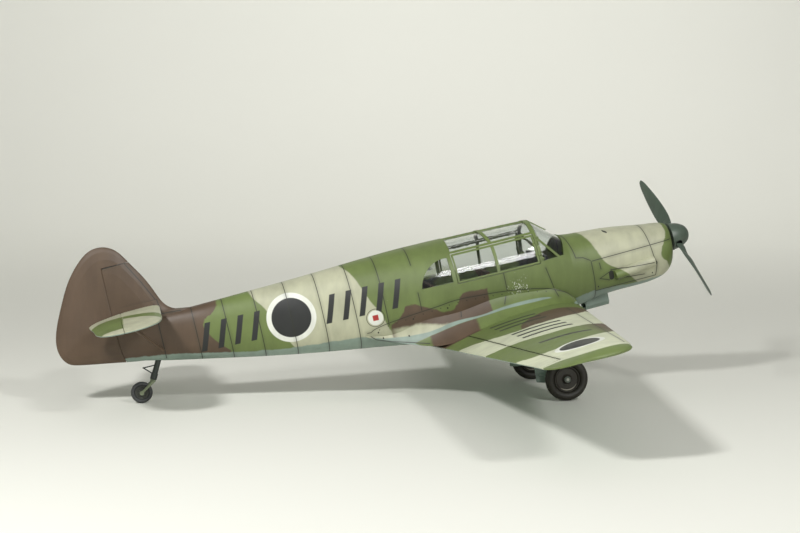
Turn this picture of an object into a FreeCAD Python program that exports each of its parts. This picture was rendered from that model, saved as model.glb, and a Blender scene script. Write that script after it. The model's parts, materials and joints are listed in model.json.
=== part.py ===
import FreeCAD
import Part
import math
import os

Vec = FreeCAD.Vector

# A 1:48 scale low-wing cabin monoplane standing on its three wheels.
# Everything is drawn in the airframe frame first: X forward along the thrust line with the
# spinner's tip at 0, Y to port, Z up. A station is a distance aft of the spinner's tip.
# The whole model is then tipped onto its wheels by the stance angle.

# ---------------------------------------------------------------- driving dimensions (mm)
stance_angle = 12.44          # nose-up attitude on three wheels, degrees
wall = 0.9                    # moulded skin thickness
gap = 0.15                    # air between a moving surface and its cove
end_gap = 0.3                 # air at the ends of a moving surface
fit = 0.05                    # radial running clearance of a pin or shaft

# fuselage rings: station, top, bottom, half width
nose_front = (6.5, 3.9, -3.8, 4.0)
nose_chin = (7.4, 4.5, -7.2, 5.7)
nose_cheek = (8.9, 4.8, -8.9, 6.6)
cowl_front = (11.5, 5.1, -10.0, 7.2)
cowl_middle = (20.0, 6.4, -10.6, 8.1)
firewall_ring = (31.25, 7.3, -11.3, 9.0)
deck_ring = (36.5, 7.9, -12.3, 9.8)
arch_ring = (44.2, 14.0, -12.9, 11.3)
cabin_ring = (55.0, 14.3, -12.9, 11.7)
rear_arch_ring = (68.5, 14.45, -12.7, 11.6)
tail_rings = [
    (78.1, 14.5, -12.0, 11.0),
    (88.5, 14.25, -10.4, 9.8),
    (104.8, 13.5, -7.9, 7.7),
    (121.4, 12.95, -5.0, 5.6),
    (137.8, 12.5, -1.7, 3.5),
    (146.9, 12.4, 0.2, 2.4),
    (160.0, 12.3, 3.1, 1.1),
]
ring_squareness = 2.4         # exponent of the rounded cross-section
ring_points = 20

# propeller
spinner_base = 5.1            # station of the spinner's rear edge
spinner_radius = 3.65
spinner_wall = 0.5
spinner_flat = 0.02           # depth of the small flat at the dome's very tip
backplate_thickness = 0.5
blade_station = 4.1           # station of the blade axes
blade_turn = 54.6             # how far the blades are parked from upright, degrees
blade_root_radius = 0.75
blade_sections = [            # distance from the shaft, chord, pitch in degrees
    (3.4, 1.7, 58), (6.0, 3.3, 46), (9.5, 4.2, 36), (13.5, 4.3, 29),
    (17.5, 3.9, 24), (21.0, 3.2, 20), (23.8, 2.2, 18), (25.2, 0.9, 17),
]
blade_section = [             # outline of a section: shares of its chord and of its depth
    (0.5, 0), (0.3, 0.85), (0.0, 1.0), (-0.3, 0.7), (-0.5, 0), (-0.3, -0.25), (0.0, -0.35), (0.3, -0.3),
]
blade_depth = (0.16, 0.14)    # section depth over chord, for narrow and for broad sections
blade_broad = 3.0             # chord from which a section counts as broad
blade_clearance = 0.35        # room round a blade's root in the spinner
shaft_radius = 0.9
hub_radius = 1.5
bearing_length = 5.0
bearing_wall = 0.9

# cowling, exhaust fairings and oil cooler
cowl_split = 14.8             # station of the nose ring's rear edge, high up
cowl_lean = 2.2               # how much further forward that edge is low down
vent_place = (24.6, 0, 6.35)
vent_radius = 0.7
exhaust_front = (13.9, 7.6, -4.2)
exhaust_rear = (25.3, 8.55, -5.4)
exhaust_radius = 1.35
exhaust_bore = 0.85
exhaust_bore_depth = 3.0
recess_half = (3.2, 0.75, 1.25)   # half length, depth and height of the hollow behind the mouth
cooler_front = 26.7
cooler_rear = 33.4
cooler_width = 5.2
cooler_depth = 2.75
cooler_wall = 0.45
cooler_chamfer = 1.0

# cabin and canopy
sill_height = 3.0
windshield_foot = 36.3        # station of the windshield's foot on the centreline
windshield_rake = 0.36        # aft travel of the foot per mm down
canopy_end = 69.1             # station where the glazing ends
pane = 0.4                    # thickness of a frame bar, and of a clear pane
front_arch = (44.5, 45.6)
rear_arch = (68.3, canopy_end)
rail_low = 10.95
rail_high = 11.45
middle_bar = 57.0             # station of the middle frame at the rail
middle_lean = 1.6             # how far the roof bar leans aft at the crown
bar = 0.8                     # width of a frame bar
foot_bar = 0.55               # width of the bars along the windshield's foot
ridge_half = 0.3              # half width of the bar along the crown
brace_foot = 39.4             # station of the windshield brace's lower end
brace_top = 9.9               # height of its upper end on the front arch
door_bar = 0.45               # width of a door's outer bars
door_gap = 0.2                # air round a closed door
pane_inset = 0.3              # a door's pane ends this far inside its bars' outer edge
door_front = 45.6
door_rear = 68.35
door_low = sill_height + door_gap
door_high = rail_low - door_gap
hinge_station = 45.3
hinge_lift = 0.35             # hinge line's offset outside the skin
hinge_pin = 0.18
hinge_knuckle = 0.42
knuckle_shares = (0.28, 0.72)
knuckle_half = 0.45
lug_shares = (0.06, 0.94)
window_front = 69.6
window_rear = 78.1
window_low = 3.8
window_high = 10.2

# wing: stations of the edges at the centreline and at the reference span
wing_ref_span = 107.3
root_lead = 34.9
root_trail = 77.4
tip_lead = 52.8
tip_trail = 71.9
wing_height = -12.65
dihedral = 4.2
incidence_root = 1.2
incidence_tip = 0.1
thickness_root = 0.16
thickness_tip = 0.13
camber = 0.02
camber_place = 0.4
trail_edge = 0.3              # blunt trailing-edge thickness
straight_span = 100.8         # where the tip starts to round
tip_joint = 103.3             # joint of the wing tip cap
tip_sections = [
    (104.6, 52.6, 72.0, 0.94),
    (107.0, 53.8, 71.3, 0.8),
    (108.7, 56.6, 69.8, 0.56),
    (109.4, 60.3, 67.3, 0.25),
]
hinge_chord_in = 70.9         # control hinge line's station at the centreline
hinge_chord_slope = -0.0262
flap_span = (17.5, 56.7)
aileron_span = (58.4, 102.4)
surface_pin = 0.3
surface_pin_reach = 0.45
cavity_span = (15.0, 62.0)

# wing root fillet: station, height on the fuselage side, outer foot (y, z), depth inside the body
fillet_stations = [
    (37.6, -9.2, 10.6, -12.0, 2.0),
    (41.0, -5.6, 13.5, -9.2, 2.0),
    (46.0, -3.4, 15.6, -8.2, 2.0),
    (54.0, -1.7, 16.8, -8.2, 2.0),
    (62.0, -0.9, 17.0, -9.3, 2.0),
    (70.0, -1.1, 16.8, -10.7, 1.0),
    (77.2, -1.7, 15.0, -11.2, 0.2),
    (84.5, -2.6, 10.6, -9.6, 0.2),
    (91.0, -3.7, 8.6, -7.4, 0.2),
    (95.0, -4.7, 7.6, -5.2, 0.2),
]

# vertical tail silhouette (station, height), from the fin's foot round the rudder
tail_outline = [
    (133.0, 10.6), (137.0, 12.3), (141.5, 13.0), (143.5, 14.2), (146.0, 18.9), (148.2, 23.6),
    (150.9, 28.1), (153.3, 31.5), (156.3, 33.1), (159.4, 33.0), (163.5, 30.3), (167.1, 26.0),
    (170.4, 20.0), (173.1, 13.8), (173.75, 10.2), (173.1, 7.1), (171.5, 5.2), (169.5, 4.5),
    (163.0, 3.3), (156.3, 2.1), (147.0, 1.4), (140.0, 3.0), (134.5, 6.5),
]
tail_centre = (156.5, 15.0)
tail_half_thickness = 1.35
edge_layers = [(1.0, 0.16), (0.98, 0.36), (0.93, 0.58), (0.82, 0.8), (0.62, 0.95), (0.35, 1.0)]
rudder_line = 158.4           # station of the joint between fin and rudder
rudder_nose = 1.02            # radius of the rudder's round nose over the fin's half thickness
horn_height = 27.9            # underside of the rudder's horn balance
fin_joint = 16.6              # joint of the fin on the rear fuselage
rudder_pin = 0.35
rudder_hinge_heights = (8.0, 23.0)
hinge_arm = 0.6               # thickness of a rudder hinge arm
hinge_arm_half = 0.45         # half width of a rudder hinge arm
hinge_slot_half = 1.08        # half width of its slot, hidden inside the rudder's nose

# horizontal tail outline (station, y) of one side, leading edge to trailing edge
plane_outline = [
    (145.6, 0.0), (145.6, 9.0), (145.7, 20.0), (146.0, 28.5), (147.3, 32.6), (149.6, 34.7), (152.5, 35.6),
    (156.3, 34.7), (159.6, 32.3), (161.3, 29.4), (162.9, 19.0), (164.1, 9.0), (164.5, 0.0),
]
plane_centre = (153.5, 0.0)
plane_height = 14.4
plane_incidence = 1.5
plane_half_thickness = 0.95
elevator_line = 156.0
elevator_inner = 1.9          # elevator's inner edge at its hinge line
elevator_cutout = 6.0         # further cut away at the trailing edge for the rudder
torque_radius = 0.25
strut_radius = 0.4
strut_low = (147.3, 2.3, 3.3)
strut_high = (154.4, 15.0, 13.7)

# landing gear
track_half = 18.15
wheel_station = 46.8
wheel_radius = 5.75
tyre_width = 3.0              # the axles' height follows from the tail wheel, below
rim_radius = 3.35
axle_radius = 0.6
tyre_clearance = 0.02         # between a tyre and its rim
dish_share = 0.72             # hub's half width over the tyre's
leg_top = (44.6, 9.6, -13.0)
leg_radius = 0.95
leg_share = 0.62              # share of the leg's length that is the thick upper strut
oleo_radius = 0.65
door_thickness = 0.45
rib_radius = 0.42
door_width = 11.2
door_aft_share = 0.66         # share of the door's width behind the leg
# a gear door's corners and its rod's ends, as shares of the width from the front edge and of
# the leg's length from the top
door_corners = ((0, 0.16), (0, 0.8), (0.16, 1.02), (0.82, 0.98), (1, 0.94), (1, 0.16))
rib_ends = ((0.94, 0.84), (0.42, 0.9))
cap_radius = 0.85

# tail wheel
leg_pivot = (149.3, 0.5)
leg_foot = (151.6, -3.8)
tail_leg_radius = 0.75
tail_axle = (155.3, -6.5)
tail_wheel_radius = 2.85
tail_tyre_width = 1.5
tail_rim_radius = 1.7
tail_axle_radius = 0.35
fork_arm = 0.36
link_radius = 0.16
link_corner = (153.4, -0.3)

# cabin furniture
floor_height = -7.0
floor_thickness = 0.8
floor_span = (40.0, 79.0)
bulkhead_span = (78.6, 79.4)
seat_width = 6.4
seat_depth = 7.6
seat_back = 8.0
seat_wall = 0.7
front_seat_station = 50.5
bench_station = 66.0
panel_station = 43.0
panel_thickness = 0.8
panel_top = 4.6
seat_side = 4.1               # front seats' distance from the middle
seat_pan = 3.6                # pan's height above the floor
seat_rake = 1.6
seat_top = 2.6                # headroom of the back above its nominal height
bench_width = 14.5
knob_radius = 0.55
stick_lean = 0.8
stick_lead = 2.4              # sticks' distance in front of the seats
stick_height = 6.5
stick_radius = 0.3


# ---------------------------------------------------------------- general helpers
def at(station, y, z):
    return Vec(-station, y, z)


def block(s0, s1, y0, y1, z0, z1):
    """Box between two stations."""
    return Part.makeBox(s1 - s0, y1 - y0, z1 - z0, at(s1, y0, z0))


def rod(start, end, radius):
    return Part.makeCylinder(radius, (end - start).Length, start, end - start)


def closed_curve(points):
    curve = Part.BSplineCurve()
    curve.interpolate(Points=points, PeriodicFlag=True)
    return Part.Wire([curve.toShape()])


def polygon(points):
    return Part.makePolygon(points + [points[0]])


def prism(points, direction):
    return Part.Face(polygon(points)).extrude(direction)


def mirrored(shape):
    return shape.mirror(Vec(0, 0, 0), Vec(0, 1, 0))


def side_of(shape, side):
    """The shape itself on the port side (+1), its mirror image on the starboard side (-1)."""
    return shape if side > 0 else mirrored(shape)


def largest(shape):
    return max(shape.Solids, key=lambda solid: solid.Volume)


def fuse(shapes):
    result = shapes[0]
    for shape in shapes[1:]:
        result = result.fuse(shape)
    return result.removeSplitter()


port_half = block(-40, 260, 0, 200, -100, 100)


# ---------------------------------------------------------------- fuselage form
def signed_power(value, power):
    return math.copysign(abs(value) ** power, value)


def ring_wire(ring, inset=0.0):
    station, top, bottom, half_width = ring
    middle = (top + bottom) / 2
    half_height = (top - bottom) / 2 - inset
    power = 2 / ring_squareness
    points = []
    for index in range(ring_points):
        angle = 2 * math.pi * index / ring_points
        y = (half_width - inset) * signed_power(math.cos(angle), power)
        z = middle + half_height * signed_power(math.sin(angle), power)
        points.append(at(station, y, z))
    return closed_curve(points)


def ring_half_width(ring, z, inset=0.0):
    """Half width of a ring's section at a height."""
    station, top, bottom, half_width = ring
    share = abs(z - (top + bottom) / 2) / ((top - bottom) / 2 - inset)
    return (half_width - inset) * (1 - share ** ring_squareness) ** (1 / ring_squareness)


def ring_loft(rings, inset=0.0, ruled=False):
    return Part.makeLoft([ring_wire(ring, inset) for ring in rings], True, ruled)


nose_rings = [nose_front, nose_chin, nose_cheek, cowl_front, cowl_middle, firewall_ring, deck_ring]
aft_rings = [arch_ring, cabin_ring, rear_arch_ring] + tail_rings


def body_form(inset=0.0):
    """Fuselage with the canopy's outer form, from the cowl's front to the sternpost."""
    nose = ring_loft(nose_rings, inset)
    screen = ring_loft([deck_ring, arch_ring], inset, True)
    aft = ring_loft(aft_rings, inset)
    return nose.fuse(screen).fuse(aft)


# ---------------------------------------------------------------- wing form
def wing_lead(y):
    return root_lead + (tip_lead - root_lead) * y / wing_ref_span


def wing_trail(y):
    return root_trail + (tip_trail - root_trail) * y / wing_ref_span


def wing_plane(y):
    return wing_height + y * math.tan(math.radians(dihedral))


def incidence(y):
    return math.radians(incidence_root + (incidence_tip - incidence_root) * y / wing_ref_span)


def thickness_ratio(y):
    return thickness_root + (thickness_tip - thickness_root) * y / wing_ref_span


def camber_line(x):
    if x < camber_place:
        return camber / camber_place ** 2 * (2 * camber_place * x - x * x)
    rear = 1 - 2 * camber_place + 2 * camber_place * x - x * x
    return camber / (1 - camber_place) ** 2 * rear


def half_profile(x, ratio):
    polynomial = -0.126 * x - 0.3516 * x ** 2 + 0.2843 * x ** 3 - 0.1036 * x ** 4
    return 5 * ratio * (0.2969 * math.sqrt(x) + polynomial)


def wing_point(y, lead, trail, x, offset):
    """A point at chord share x, offset from the chord line by a share of the chord."""
    chord = trail - lead
    turn = incidence(y)
    back = (x - 0.3) * chord
    up = offset * chord
    station = lead + 0.3 * chord + back * math.cos(turn) + up * math.sin(turn)
    return at(station, y, wing_plane(y) - back * math.sin(turn) + up * math.cos(turn))


profile_shares = [1.0, 0.9, 0.75, 0.55, 0.35, 0.2, 0.1, 0.04, 0.01]


def wing_section(y, lead, trail, ratio):
    blunt = trail_edge / 2 / (trail - lead)
    upper = []
    lower = []
    for x in profile_shares:
        thick = half_profile(x, ratio) + blunt * x
        upper.append(wing_point(y, lead, trail, x, camber_line(x) + thick))
        lower.append(wing_point(y, lead, trail, x, camber_line(x) - thick))
    nose = wing_point(y, lead, trail, 0, 0)
    over = Part.BSplineCurve()
    over.interpolate(upper + [nose] + lower[::-1])
    under = over.copy()
    front = over.parameter(nose)
    over.segment(over.FirstParameter, front)
    under.segment(front, under.LastParameter)
    return Part.Wire([over.toShape(), under.toShape(), Part.makeLine(lower[0], upper[0])])


def plain_section(y, thin=1.0):
    return wing_section(y, wing_lead(y), wing_trail(y), thickness_ratio(y) * thin)


def wing_form():
    """Solid port wing from the centreline to the rounded tip."""
    panel = Part.makeLoft([plain_section(0), plain_section(straight_span)], True, True)
    sections = [plain_section(straight_span)]
    for y, lead, trail, thin in tip_sections:
        sections.append(wing_section(y, lead, trail, thickness_ratio(y) * thin))
    tip = Part.makeLoft(sections, True, False)
    return panel.fuse(tip)


def above_chord(margin=6.0, height=20.0):
    """Everything above the port wing's chord surface."""
    wires = []
    for y in (0.0, 2 * straight_span):
        lead = wing_lead(y) - margin
        trail = wing_trail(y) + margin
        turn = math.tan(incidence(y))
        middle = wing_lead(y) + 0.3 * (wing_trail(y) - wing_lead(y))
        front = wing_plane(y) + (middle - lead) * turn
        back = wing_plane(y) - (trail - middle) * turn
        low = [at(lead, y, front), at(trail, y, back)]
        wires.append(polygon(low + [at(trail, y, back + height), at(lead, y, front + height)]))
    return Part.makeLoft(wires, True, True)


def wing_cavity():
    """Hollow inside the inner wing, a wall thickness away from the skins."""
    wires = []
    for y in cavity_span:
        lead = wing_lead(y)
        trail = wing_trail(y)
        chord = trail - lead
        ratio = thickness_ratio(y)
        corners = []
        for x in (0.14, 0.3, 0.5, 0.68):
            corners.append((x, camber_line(x) + half_profile(x, ratio) - wall / chord))
        for x in (0.68, 0.5, 0.3, 0.14):
            corners.append((x, camber_line(x) - half_profile(x, ratio) + wall / chord))
        wires.append(polygon([wing_point(y, lead, trail, x, up) for x, up in corners]))
    return Part.makeLoft(wires, True, True)


# ---------------------------------------------------------------- wing control surfaces
hinge_size = 1.35             # hinge drum's radius against the local half thickness


def hinge_share(y):
    station = hinge_chord_in + hinge_chord_slope * y
    return (station - wing_lead(y)) / (wing_trail(y) - wing_lead(y))


def hinge_point(y):
    share = hinge_share(y)
    return wing_point(y, wing_lead(y), wing_trail(y), share, camber_line(share))


def hinge_drum_radius(y):
    chord = wing_trail(y) - wing_lead(y)
    return hinge_size * half_profile(hinge_share(y), thickness_ratio(y)) * chord


def hinge_zone(inner, outer, margin):
    """Drum round the hinge line and all that lies aft of it, grown by a margin."""
    start = hinge_point(inner)
    end = hinge_point(outer)
    line = end - start
    drum = Part.makeCone(hinge_drum_radius(inner) + margin, hinge_drum_radius(outer) + margin,
                         line.Length, start, line)
    aft = polygon([start + Vec(0, 0, -8), start + Vec(-30, 0, -8),
                   start + Vec(-30, 0, 8), start + Vec(0, 0, 8)])
    aft_end = polygon([end + Vec(0, 0, -8), end + Vec(-30, 0, -8),
                       end + Vec(-30, 0, 8), end + Vec(0, 0, 8)])
    wedge = Part.makeLoft([aft, aft_end], True, True)
    slab = block(0, 200, inner, outer, -60, 60)
    return drum.fuse(wedge).common(slab)


def pins_for(span, reach, radius):
    """Hinge pins at both ends of a surface, as one solid list."""
    inner, outer = span
    direction = hinge_point(outer) - hinge_point(inner)
    direction.normalize()
    start = hinge_point(inner)
    end = hinge_point(outer)
    out = reach + end_gap
    return [rod(start - direction * out, start + direction, radius),
            rod(end - direction, end + direction * out, radius)]


def control_surface(wing, span):
    inner, outer = span
    surface = wing.common(hinge_zone(inner, outer, 0.0))
    for pin in pins_for(span, surface_pin_reach, surface_pin):
        surface = surface.fuse(pin)
    return largest(surface)


def surface_cut(span):
    """What the wing loses to one control surface and its pins' bores."""
    inner, outer = span
    cut = hinge_zone(inner - end_gap, outer + end_gap, gap)
    for pin in pins_for(span, surface_pin_reach + fit, surface_pin + fit):
        cut = cut.fuse(pin)
    return cut


# ---------------------------------------------------------------- tail forms
def layered(points, centre, half_thickness, place):
    """Lens-like solid: the outline at its edge plane, shrinking towards each flat side."""
    wires = []
    heights = [(scale, -share) for scale, share in edge_layers[::-1]] + edge_layers
    for scale, share in heights:
        ring = []
        for station, other in points:
            a = centre[0] + (station - centre[0]) * scale
            b = centre[1] + (other - centre[1]) * scale
            ring.append(place(a, b, share * half_thickness))
        wires.append(closed_curve(ring))
    return Part.makeLoft(wires, True, True)


def fin_form():
    return layered(tail_outline, tail_centre, tail_half_thickness, lambda s, z, t: at(s, t, z))


def tilt(station, y, t):
    turn = math.radians(plane_incidence)
    back = station - plane_centre[0]
    s = plane_centre[0] + back * math.cos(turn) + t * math.sin(turn)
    return at(s, y, plane_height - back * math.sin(turn) + t * math.cos(turn))


def plane_form():
    other = [(s, -y) for s, y in plane_outline[1:-1]]
    outline = plane_outline + other[::-1]
    return layered(outline, plane_centre, plane_half_thickness, tilt)


rudder_drum = rudder_nose * tail_half_thickness
rudder_axis = rudder_line + math.sqrt(rudder_drum ** 2 - tail_half_thickness ** 2)
elevator_drum = 1.05 * plane_half_thickness
elevator_setback = math.sqrt(elevator_drum ** 2 - plane_half_thickness ** 2)


def rudder_arm(height):
    """Arm from the fin's rear face round the rudder pin."""
    low = height - hinge_arm / 2
    eye = Part.makeCylinder(2 * rudder_pin, hinge_arm, at(rudder_axis, 0, low), Vec(0, 0, 1))
    root = rudder_axis - rudder_drum - gap - hinge_arm
    arm = block(root, rudder_axis, -hinge_arm_half, hinge_arm_half, low, low + hinge_arm)
    return arm.fuse(eye).cut(rudder_pin_rod(fit))


def rudder_slot(height):
    half = hinge_arm / 2 + gap
    front = rudder_axis - 2 * rudder_drum
    rear = rudder_axis + 2 * rudder_pin + 2 * gap
    return block(front, rear, -hinge_slot_half, hinge_slot_half, height - half, height + half)


def rudder_zone(margin):
    """Drum round the rudder's axis, all aft of it, and the horn balance above the fin."""
    drum = Part.makeCylinder(rudder_drum + margin, 60, at(rudder_axis, 0, -10), Vec(0, 0, 1))
    aft = block(rudder_axis, 190, -12, 12, -10, 50)
    horn = block(120, rudder_axis, -12, 12, horn_height - margin, 50)
    return drum.fuse(aft).fuse(horn)


def elevator_axis():
    return tilt(elevator_line + elevator_setback, 0.0, 0.0)


def elevator_zone(margin):
    """Drum round the elevator's axis and all aft of it, port side, clear of the rudder."""
    start = elevator_axis()
    drum = Part.makeCylinder(elevator_drum + margin, 40, start, Vec(0, 1, 0))
    aft = Part.makeBox(30, 40, 16, start + Vec(-30, 0, -8))
    zone = drum.fuse(aft)
    inner = elevator_inner - margin
    s0 = elevator_line - 3
    s1 = elevator_line + elevator_setback
    s2 = plane_outline[-1][0] + 3
    slope = elevator_cutout / (plane_outline[-1][0] - s1)
    near = [at(s0, inner, -5), at(s1, inner, -5), at(s2, inner + slope * (s2 - s1), -5)]
    far = [at(s2, 45, -5), at(s0, 45, -5)]
    return zone.common(prism(near + far, Vec(0, 0, 50)))


# ---------------------------------------------------------------- canopy helpers
def skin(outer_inset, inner_inset):
    """Thin shell of the cabin's form between two depths below its surface."""
    parts = []
    for inset in (outer_inset, inner_inset):
        screen = ring_loft([deck_ring, arch_ring], inset, True)
        aft = ring_loft(aft_rings[:5], inset)
        parts.append(screen.fuse(aft))
    return parts[0].cut(parts[1])


def foot_station(z, shift=0.0):
    return windshield_foot + shift + (deck_ring[1] - z) * windshield_rake


def screen_zone(shift, low, end, high=30.0):
    """Everything behind the raked foot of the windshield, up to a station."""
    points = [at(foot_station(low, shift), -20, low), at(end, -20, low),
              at(end, -20, high), at(foot_station(high, shift), -20, high)]
    return prism(points, Vec(0, 40, 0))


def side_bar(start, end, width):
    """Straight bar seen from the side, through the whole cabin's width."""
    s0, z0 = start
    s1, z1 = end
    along = Vec(s1 - s0, z1 - z0, 0)
    along.normalize()
    ds = -along.y * width / 2
    dz = along.x * width / 2
    points = [at(s0 + ds, -20, z0 + dz), at(s1 + ds, -20, z1 + dz),
              at(s1 - ds, -20, z1 - dz), at(s0 - ds, -20, z0 - dz)]
    return prism(points, Vec(0, 40, 0))


def door_zone(shrink=0.0):
    return block(door_front + shrink, door_rear - shrink, 1.5, 20,
                 door_low + shrink, door_high - shrink)


def skin_half_width(station, z):
    """Half width of the cabin's skin between the front arch and the cabin's middle."""
    share = (station - arch_ring[0]) / (cabin_ring[0] - arch_ring[0])
    ring = tuple(a + (b - a) * share for a, b in zip(arch_ring, cabin_ring))
    return ring_half_width(ring, z)


hinge_bottom = door_low + 0.6
hinge_top = door_high - 0.6


def door_hinge_axis():
    """Two points of the port door's hinge line, just outside the skin."""
    low = at(hinge_station, skin_half_width(hinge_station, hinge_bottom) + hinge_lift, hinge_bottom)
    high = at(hinge_station, skin_half_width(hinge_station, hinge_top) + hinge_lift, hinge_top)
    return low, high


def window_form(shrink=0.0):
    """Quarter window: upright front edge, level sill, and an arc closing them."""
    front = window_front + shrink
    rear = window_rear - shrink
    low = window_low + shrink
    high = window_high - shrink
    span = rear - front
    rise = high - low
    knee = at(front + span * math.sin(math.radians(45)), -20, low + rise * math.sin(math.radians(45)))
    arc = Part.Arc(at(rear, -20, low), knee, at(front, -20, high)).toShape()
    corner = at(front, -20, low)
    wire = Part.Wire([Part.makeLine(corner, at(rear, -20, low)), arc,
                      Part.makeLine(at(front, -20, high), corner)])
    return Part.Face(wire).extrude(Vec(0, 40, 0))


# ---------------------------------------------------------------- the pieces
nodes = {}


def keep(name, shape):
    nodes[name] = shape


def build_wing(wing_port):
    above = above_chord()
    cavity = wing_cavity()
    cap_zone = block(0, 200, tip_joint, 200, -60, 60)
    cut = surface_cut(flap_span).fuse(surface_cut(aileron_span))
    panel = wing_port.cut(cut)
    tip = largest(panel.common(cap_zone))
    inner = panel.cut(cap_zone).cut(cavity)
    upper = largest(inner.common(above))
    lower = largest(inner.cut(above))
    keep("wing_lower", largest(lower.fuse(mirrored(lower))))
    for side, name in ((1, "left"), (-1, "right")):
        keep("wing_upper_" + name, side_of(upper, side))
        keep("wing_tip_" + name, side_of(tip, side))
        keep("flap_" + name, side_of(control_surface(wing_port, flap_span), side))
        keep("aileron_" + name, side_of(control_surface(wing_port, aileron_span), side))


def build_fillets(hull, wing_port):
    wires = []
    for station, high, foot_y, foot_z, depth_in in fillet_stations:
        ring = [r for r in nose_rings + aft_rings if r[0] >= station][0]
        inner = 0.55 * ring[3]
        side_y = ring[3] * 0.93
        shoulder = at(station, side_y, high)
        foot = at(station, foot_y, foot_z)
        hollow = Vec(-station, (side_y + foot_y) / 2, (high + foot_z) / 2)
        depth = 0.13 * (shoulder - foot).Length
        across = Vec(0, -1, -1)
        middle = hollow + across * depth * 0.7
        arc = Part.Arc(shoulder, middle, foot).toShape()
        low = at(station, inner, foot_z - depth_in)
        top = at(station, inner, high)
        wires.append(Part.Wire([arc, Part.makeLine(foot, low), Part.makeLine(low, top),
                                Part.makeLine(top, shoulder)]))
    body = Part.makeLoft(wires, True, False).cut(hull).cut(wing_port)
    piece = largest(body)
    keep("wing_fillet_left", piece)
    keep("wing_fillet_right", mirrored(piece))


def build_fuselage(hull, hull_inner, fin, wing_both):
    tail_end = block(firewall_ring[0], 190, -30, 30, -30, fin_joint)
    solid = hull.fuse(fin.common(tail_end)).cut(rudder_zone(gap))
    shell = solid.common(tail_end).cut(hull_inner).cut(wing_both)
    cabin = screen_zone(0.0, sill_height, canopy_end)
    shell = shell.cut(cabin).cut(window_form())
    shell = shell.cut(tail_leg_bore())
    shell = shell.cut(rod(*torque_ends(), torque_radius + fit))
    shell = shell.fuse(rudder_arm(rudder_hinge_heights[0]))
    for side, name in ((1, "left"), (-1, "right")):
        half = shell.common(side_of(port_half, side))
        keep("fuselage_" + name, largest(half))
    return solid


def build_fin(fin):
    zone = block(100, 190, -12, 12, fin_joint, 60)
    upper = fin.common(zone).cut(rudder_zone(gap))
    keep("fin", largest(upper.fuse(rudder_arm(rudder_hinge_heights[1]))))
    rudder = fin.common(rudder_zone(0.0))
    rudder = rudder.cut(rudder_pin_rod(0.0))
    for height in rudder_hinge_heights:
        rudder = rudder.cut(rudder_slot(height))
    keep("rudder", largest(rudder))
    keep("rudder_hinge_pin", rudder_pin_rod(0.0))


def rudder_pin_rod(extra):
    low = 2.2 + 0.7
    return rod(at(rudder_axis, 0, low - extra), at(rudder_axis, 0, horn_height + 1.5), rudder_pin + extra)


def torque_ends():
    middle = elevator_axis()
    reach = elevator_inner + 1.5
    return middle + Vec(0, -reach, 0), middle + Vec(0, reach, 0)


def build_tailplane(plane, tail_solid, fin):
    start, end = torque_ends()
    torque = rod(start, end, torque_radius)
    keep("elevator_torque_tube", torque)
    fixed = plane.common(port_half).cut(elevator_zone(gap))
    cutter = block(elevator_line - 1.0, 190, 0, elevator_inner, 5, 25)
    fixed = fixed.cut(cutter).cut(tail_solid).cut(fin)
    elevator = plane.common(elevator_zone(0.0)).cut(torque)
    strut = rod(at(*strut_low), at(*strut_high), strut_radius).cut(tail_solid).cut(plane)
    strut = largest(strut)
    for side, name in ((1, "left"), (-1, "right")):
        keep("tailplane_" + name, side_of(largest(fixed), side))
        keep("elevator_" + name, side_of(largest(elevator), side))
    keep("tailplane_struts", Part.makeCompound([strut, mirrored(strut)]))


def build_cowling(hull, hull_inner):
    front = [at(0, -20, 20), at(cowl_split, -20, 20), at(cowl_split - cowl_lean, -20, -20), at(0, -20, -20)]
    front_zone = prism(front, Vec(0, 40, 0))
    shell = hull.common(block(0, firewall_ring[0], -30, 30, -30, 30)).cut(hull_inner)
    mouth = rod(at(0, 0, 0), at(12, 0, 0), spinner_radius - 0.5)
    ring = shell.common(front_zone).cut(mouth)
    keep("nose_ring", largest(ring))
    rest = shell.cut(front_zone)
    upper_zone = block(0, 60, -30, 30, 0, 30)
    vent = Part.makeSphere(vent_radius, at(*vent_place))
    keep("upper_cowling", largest(rest.common(upper_zone).fuse(vent.cut(hull_inner).cut(hull))))
    lower = rest.cut(upper_zone)
    fairings = []
    for side in (1, -1):
        pipe = side_of(exhaust_form(), side)
        fairings.append(pipe)
        lower = lower.cut(pipe)
        lower = lower.cut(side_of(exhaust_recess(), side))
    duct = build_cooler(hull)
    keep("lower_cowling", largest(lower))
    for pipe, side in zip(fairings, ("left", "right")):
        keep("exhaust_" + side, largest(pipe.cut(hull_inner).cut(front_zone)))
    keep("oil_cooler_duct", duct)
    wall_form = hull.common(block(firewall_ring[0] - 1.0, firewall_ring[0], -30, 30, -30, 30))
    firewall = wall_form.common(hull_inner)
    firewall = firewall.cut(rod(at(0, 0, 0), at(60, 0, 0), shaft_radius + bearing_wall))
    keep("firewall", largest(firewall))


def exhaust_form():
    """Fairing over the exhaust: a tube that fades into the cowl at its front."""
    front = at(*exhaust_front)
    rear = at(*exhaust_rear)
    tube = rod(front, rear, exhaust_radius).fuse(Part.makeSphere(exhaust_radius, front))
    axis = rear - front
    axis.normalize()
    bore = rod(rear - axis * exhaust_bore_depth, rear + axis, exhaust_bore)
    return tube.cut(bore)


def exhaust_recess():
    """Shallow hollow in the cowl behind the exhaust's mouth."""
    rear = at(*exhaust_rear)
    hollow = Part.makeSphere(1.0, Vec(0, 0, 0))
    matrix = FreeCAD.Matrix()
    matrix.scale(*recess_half)
    return hollow.transformGeometry(matrix).translated(rear + Vec(-0.4, 0.35, -0.1))


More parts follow.
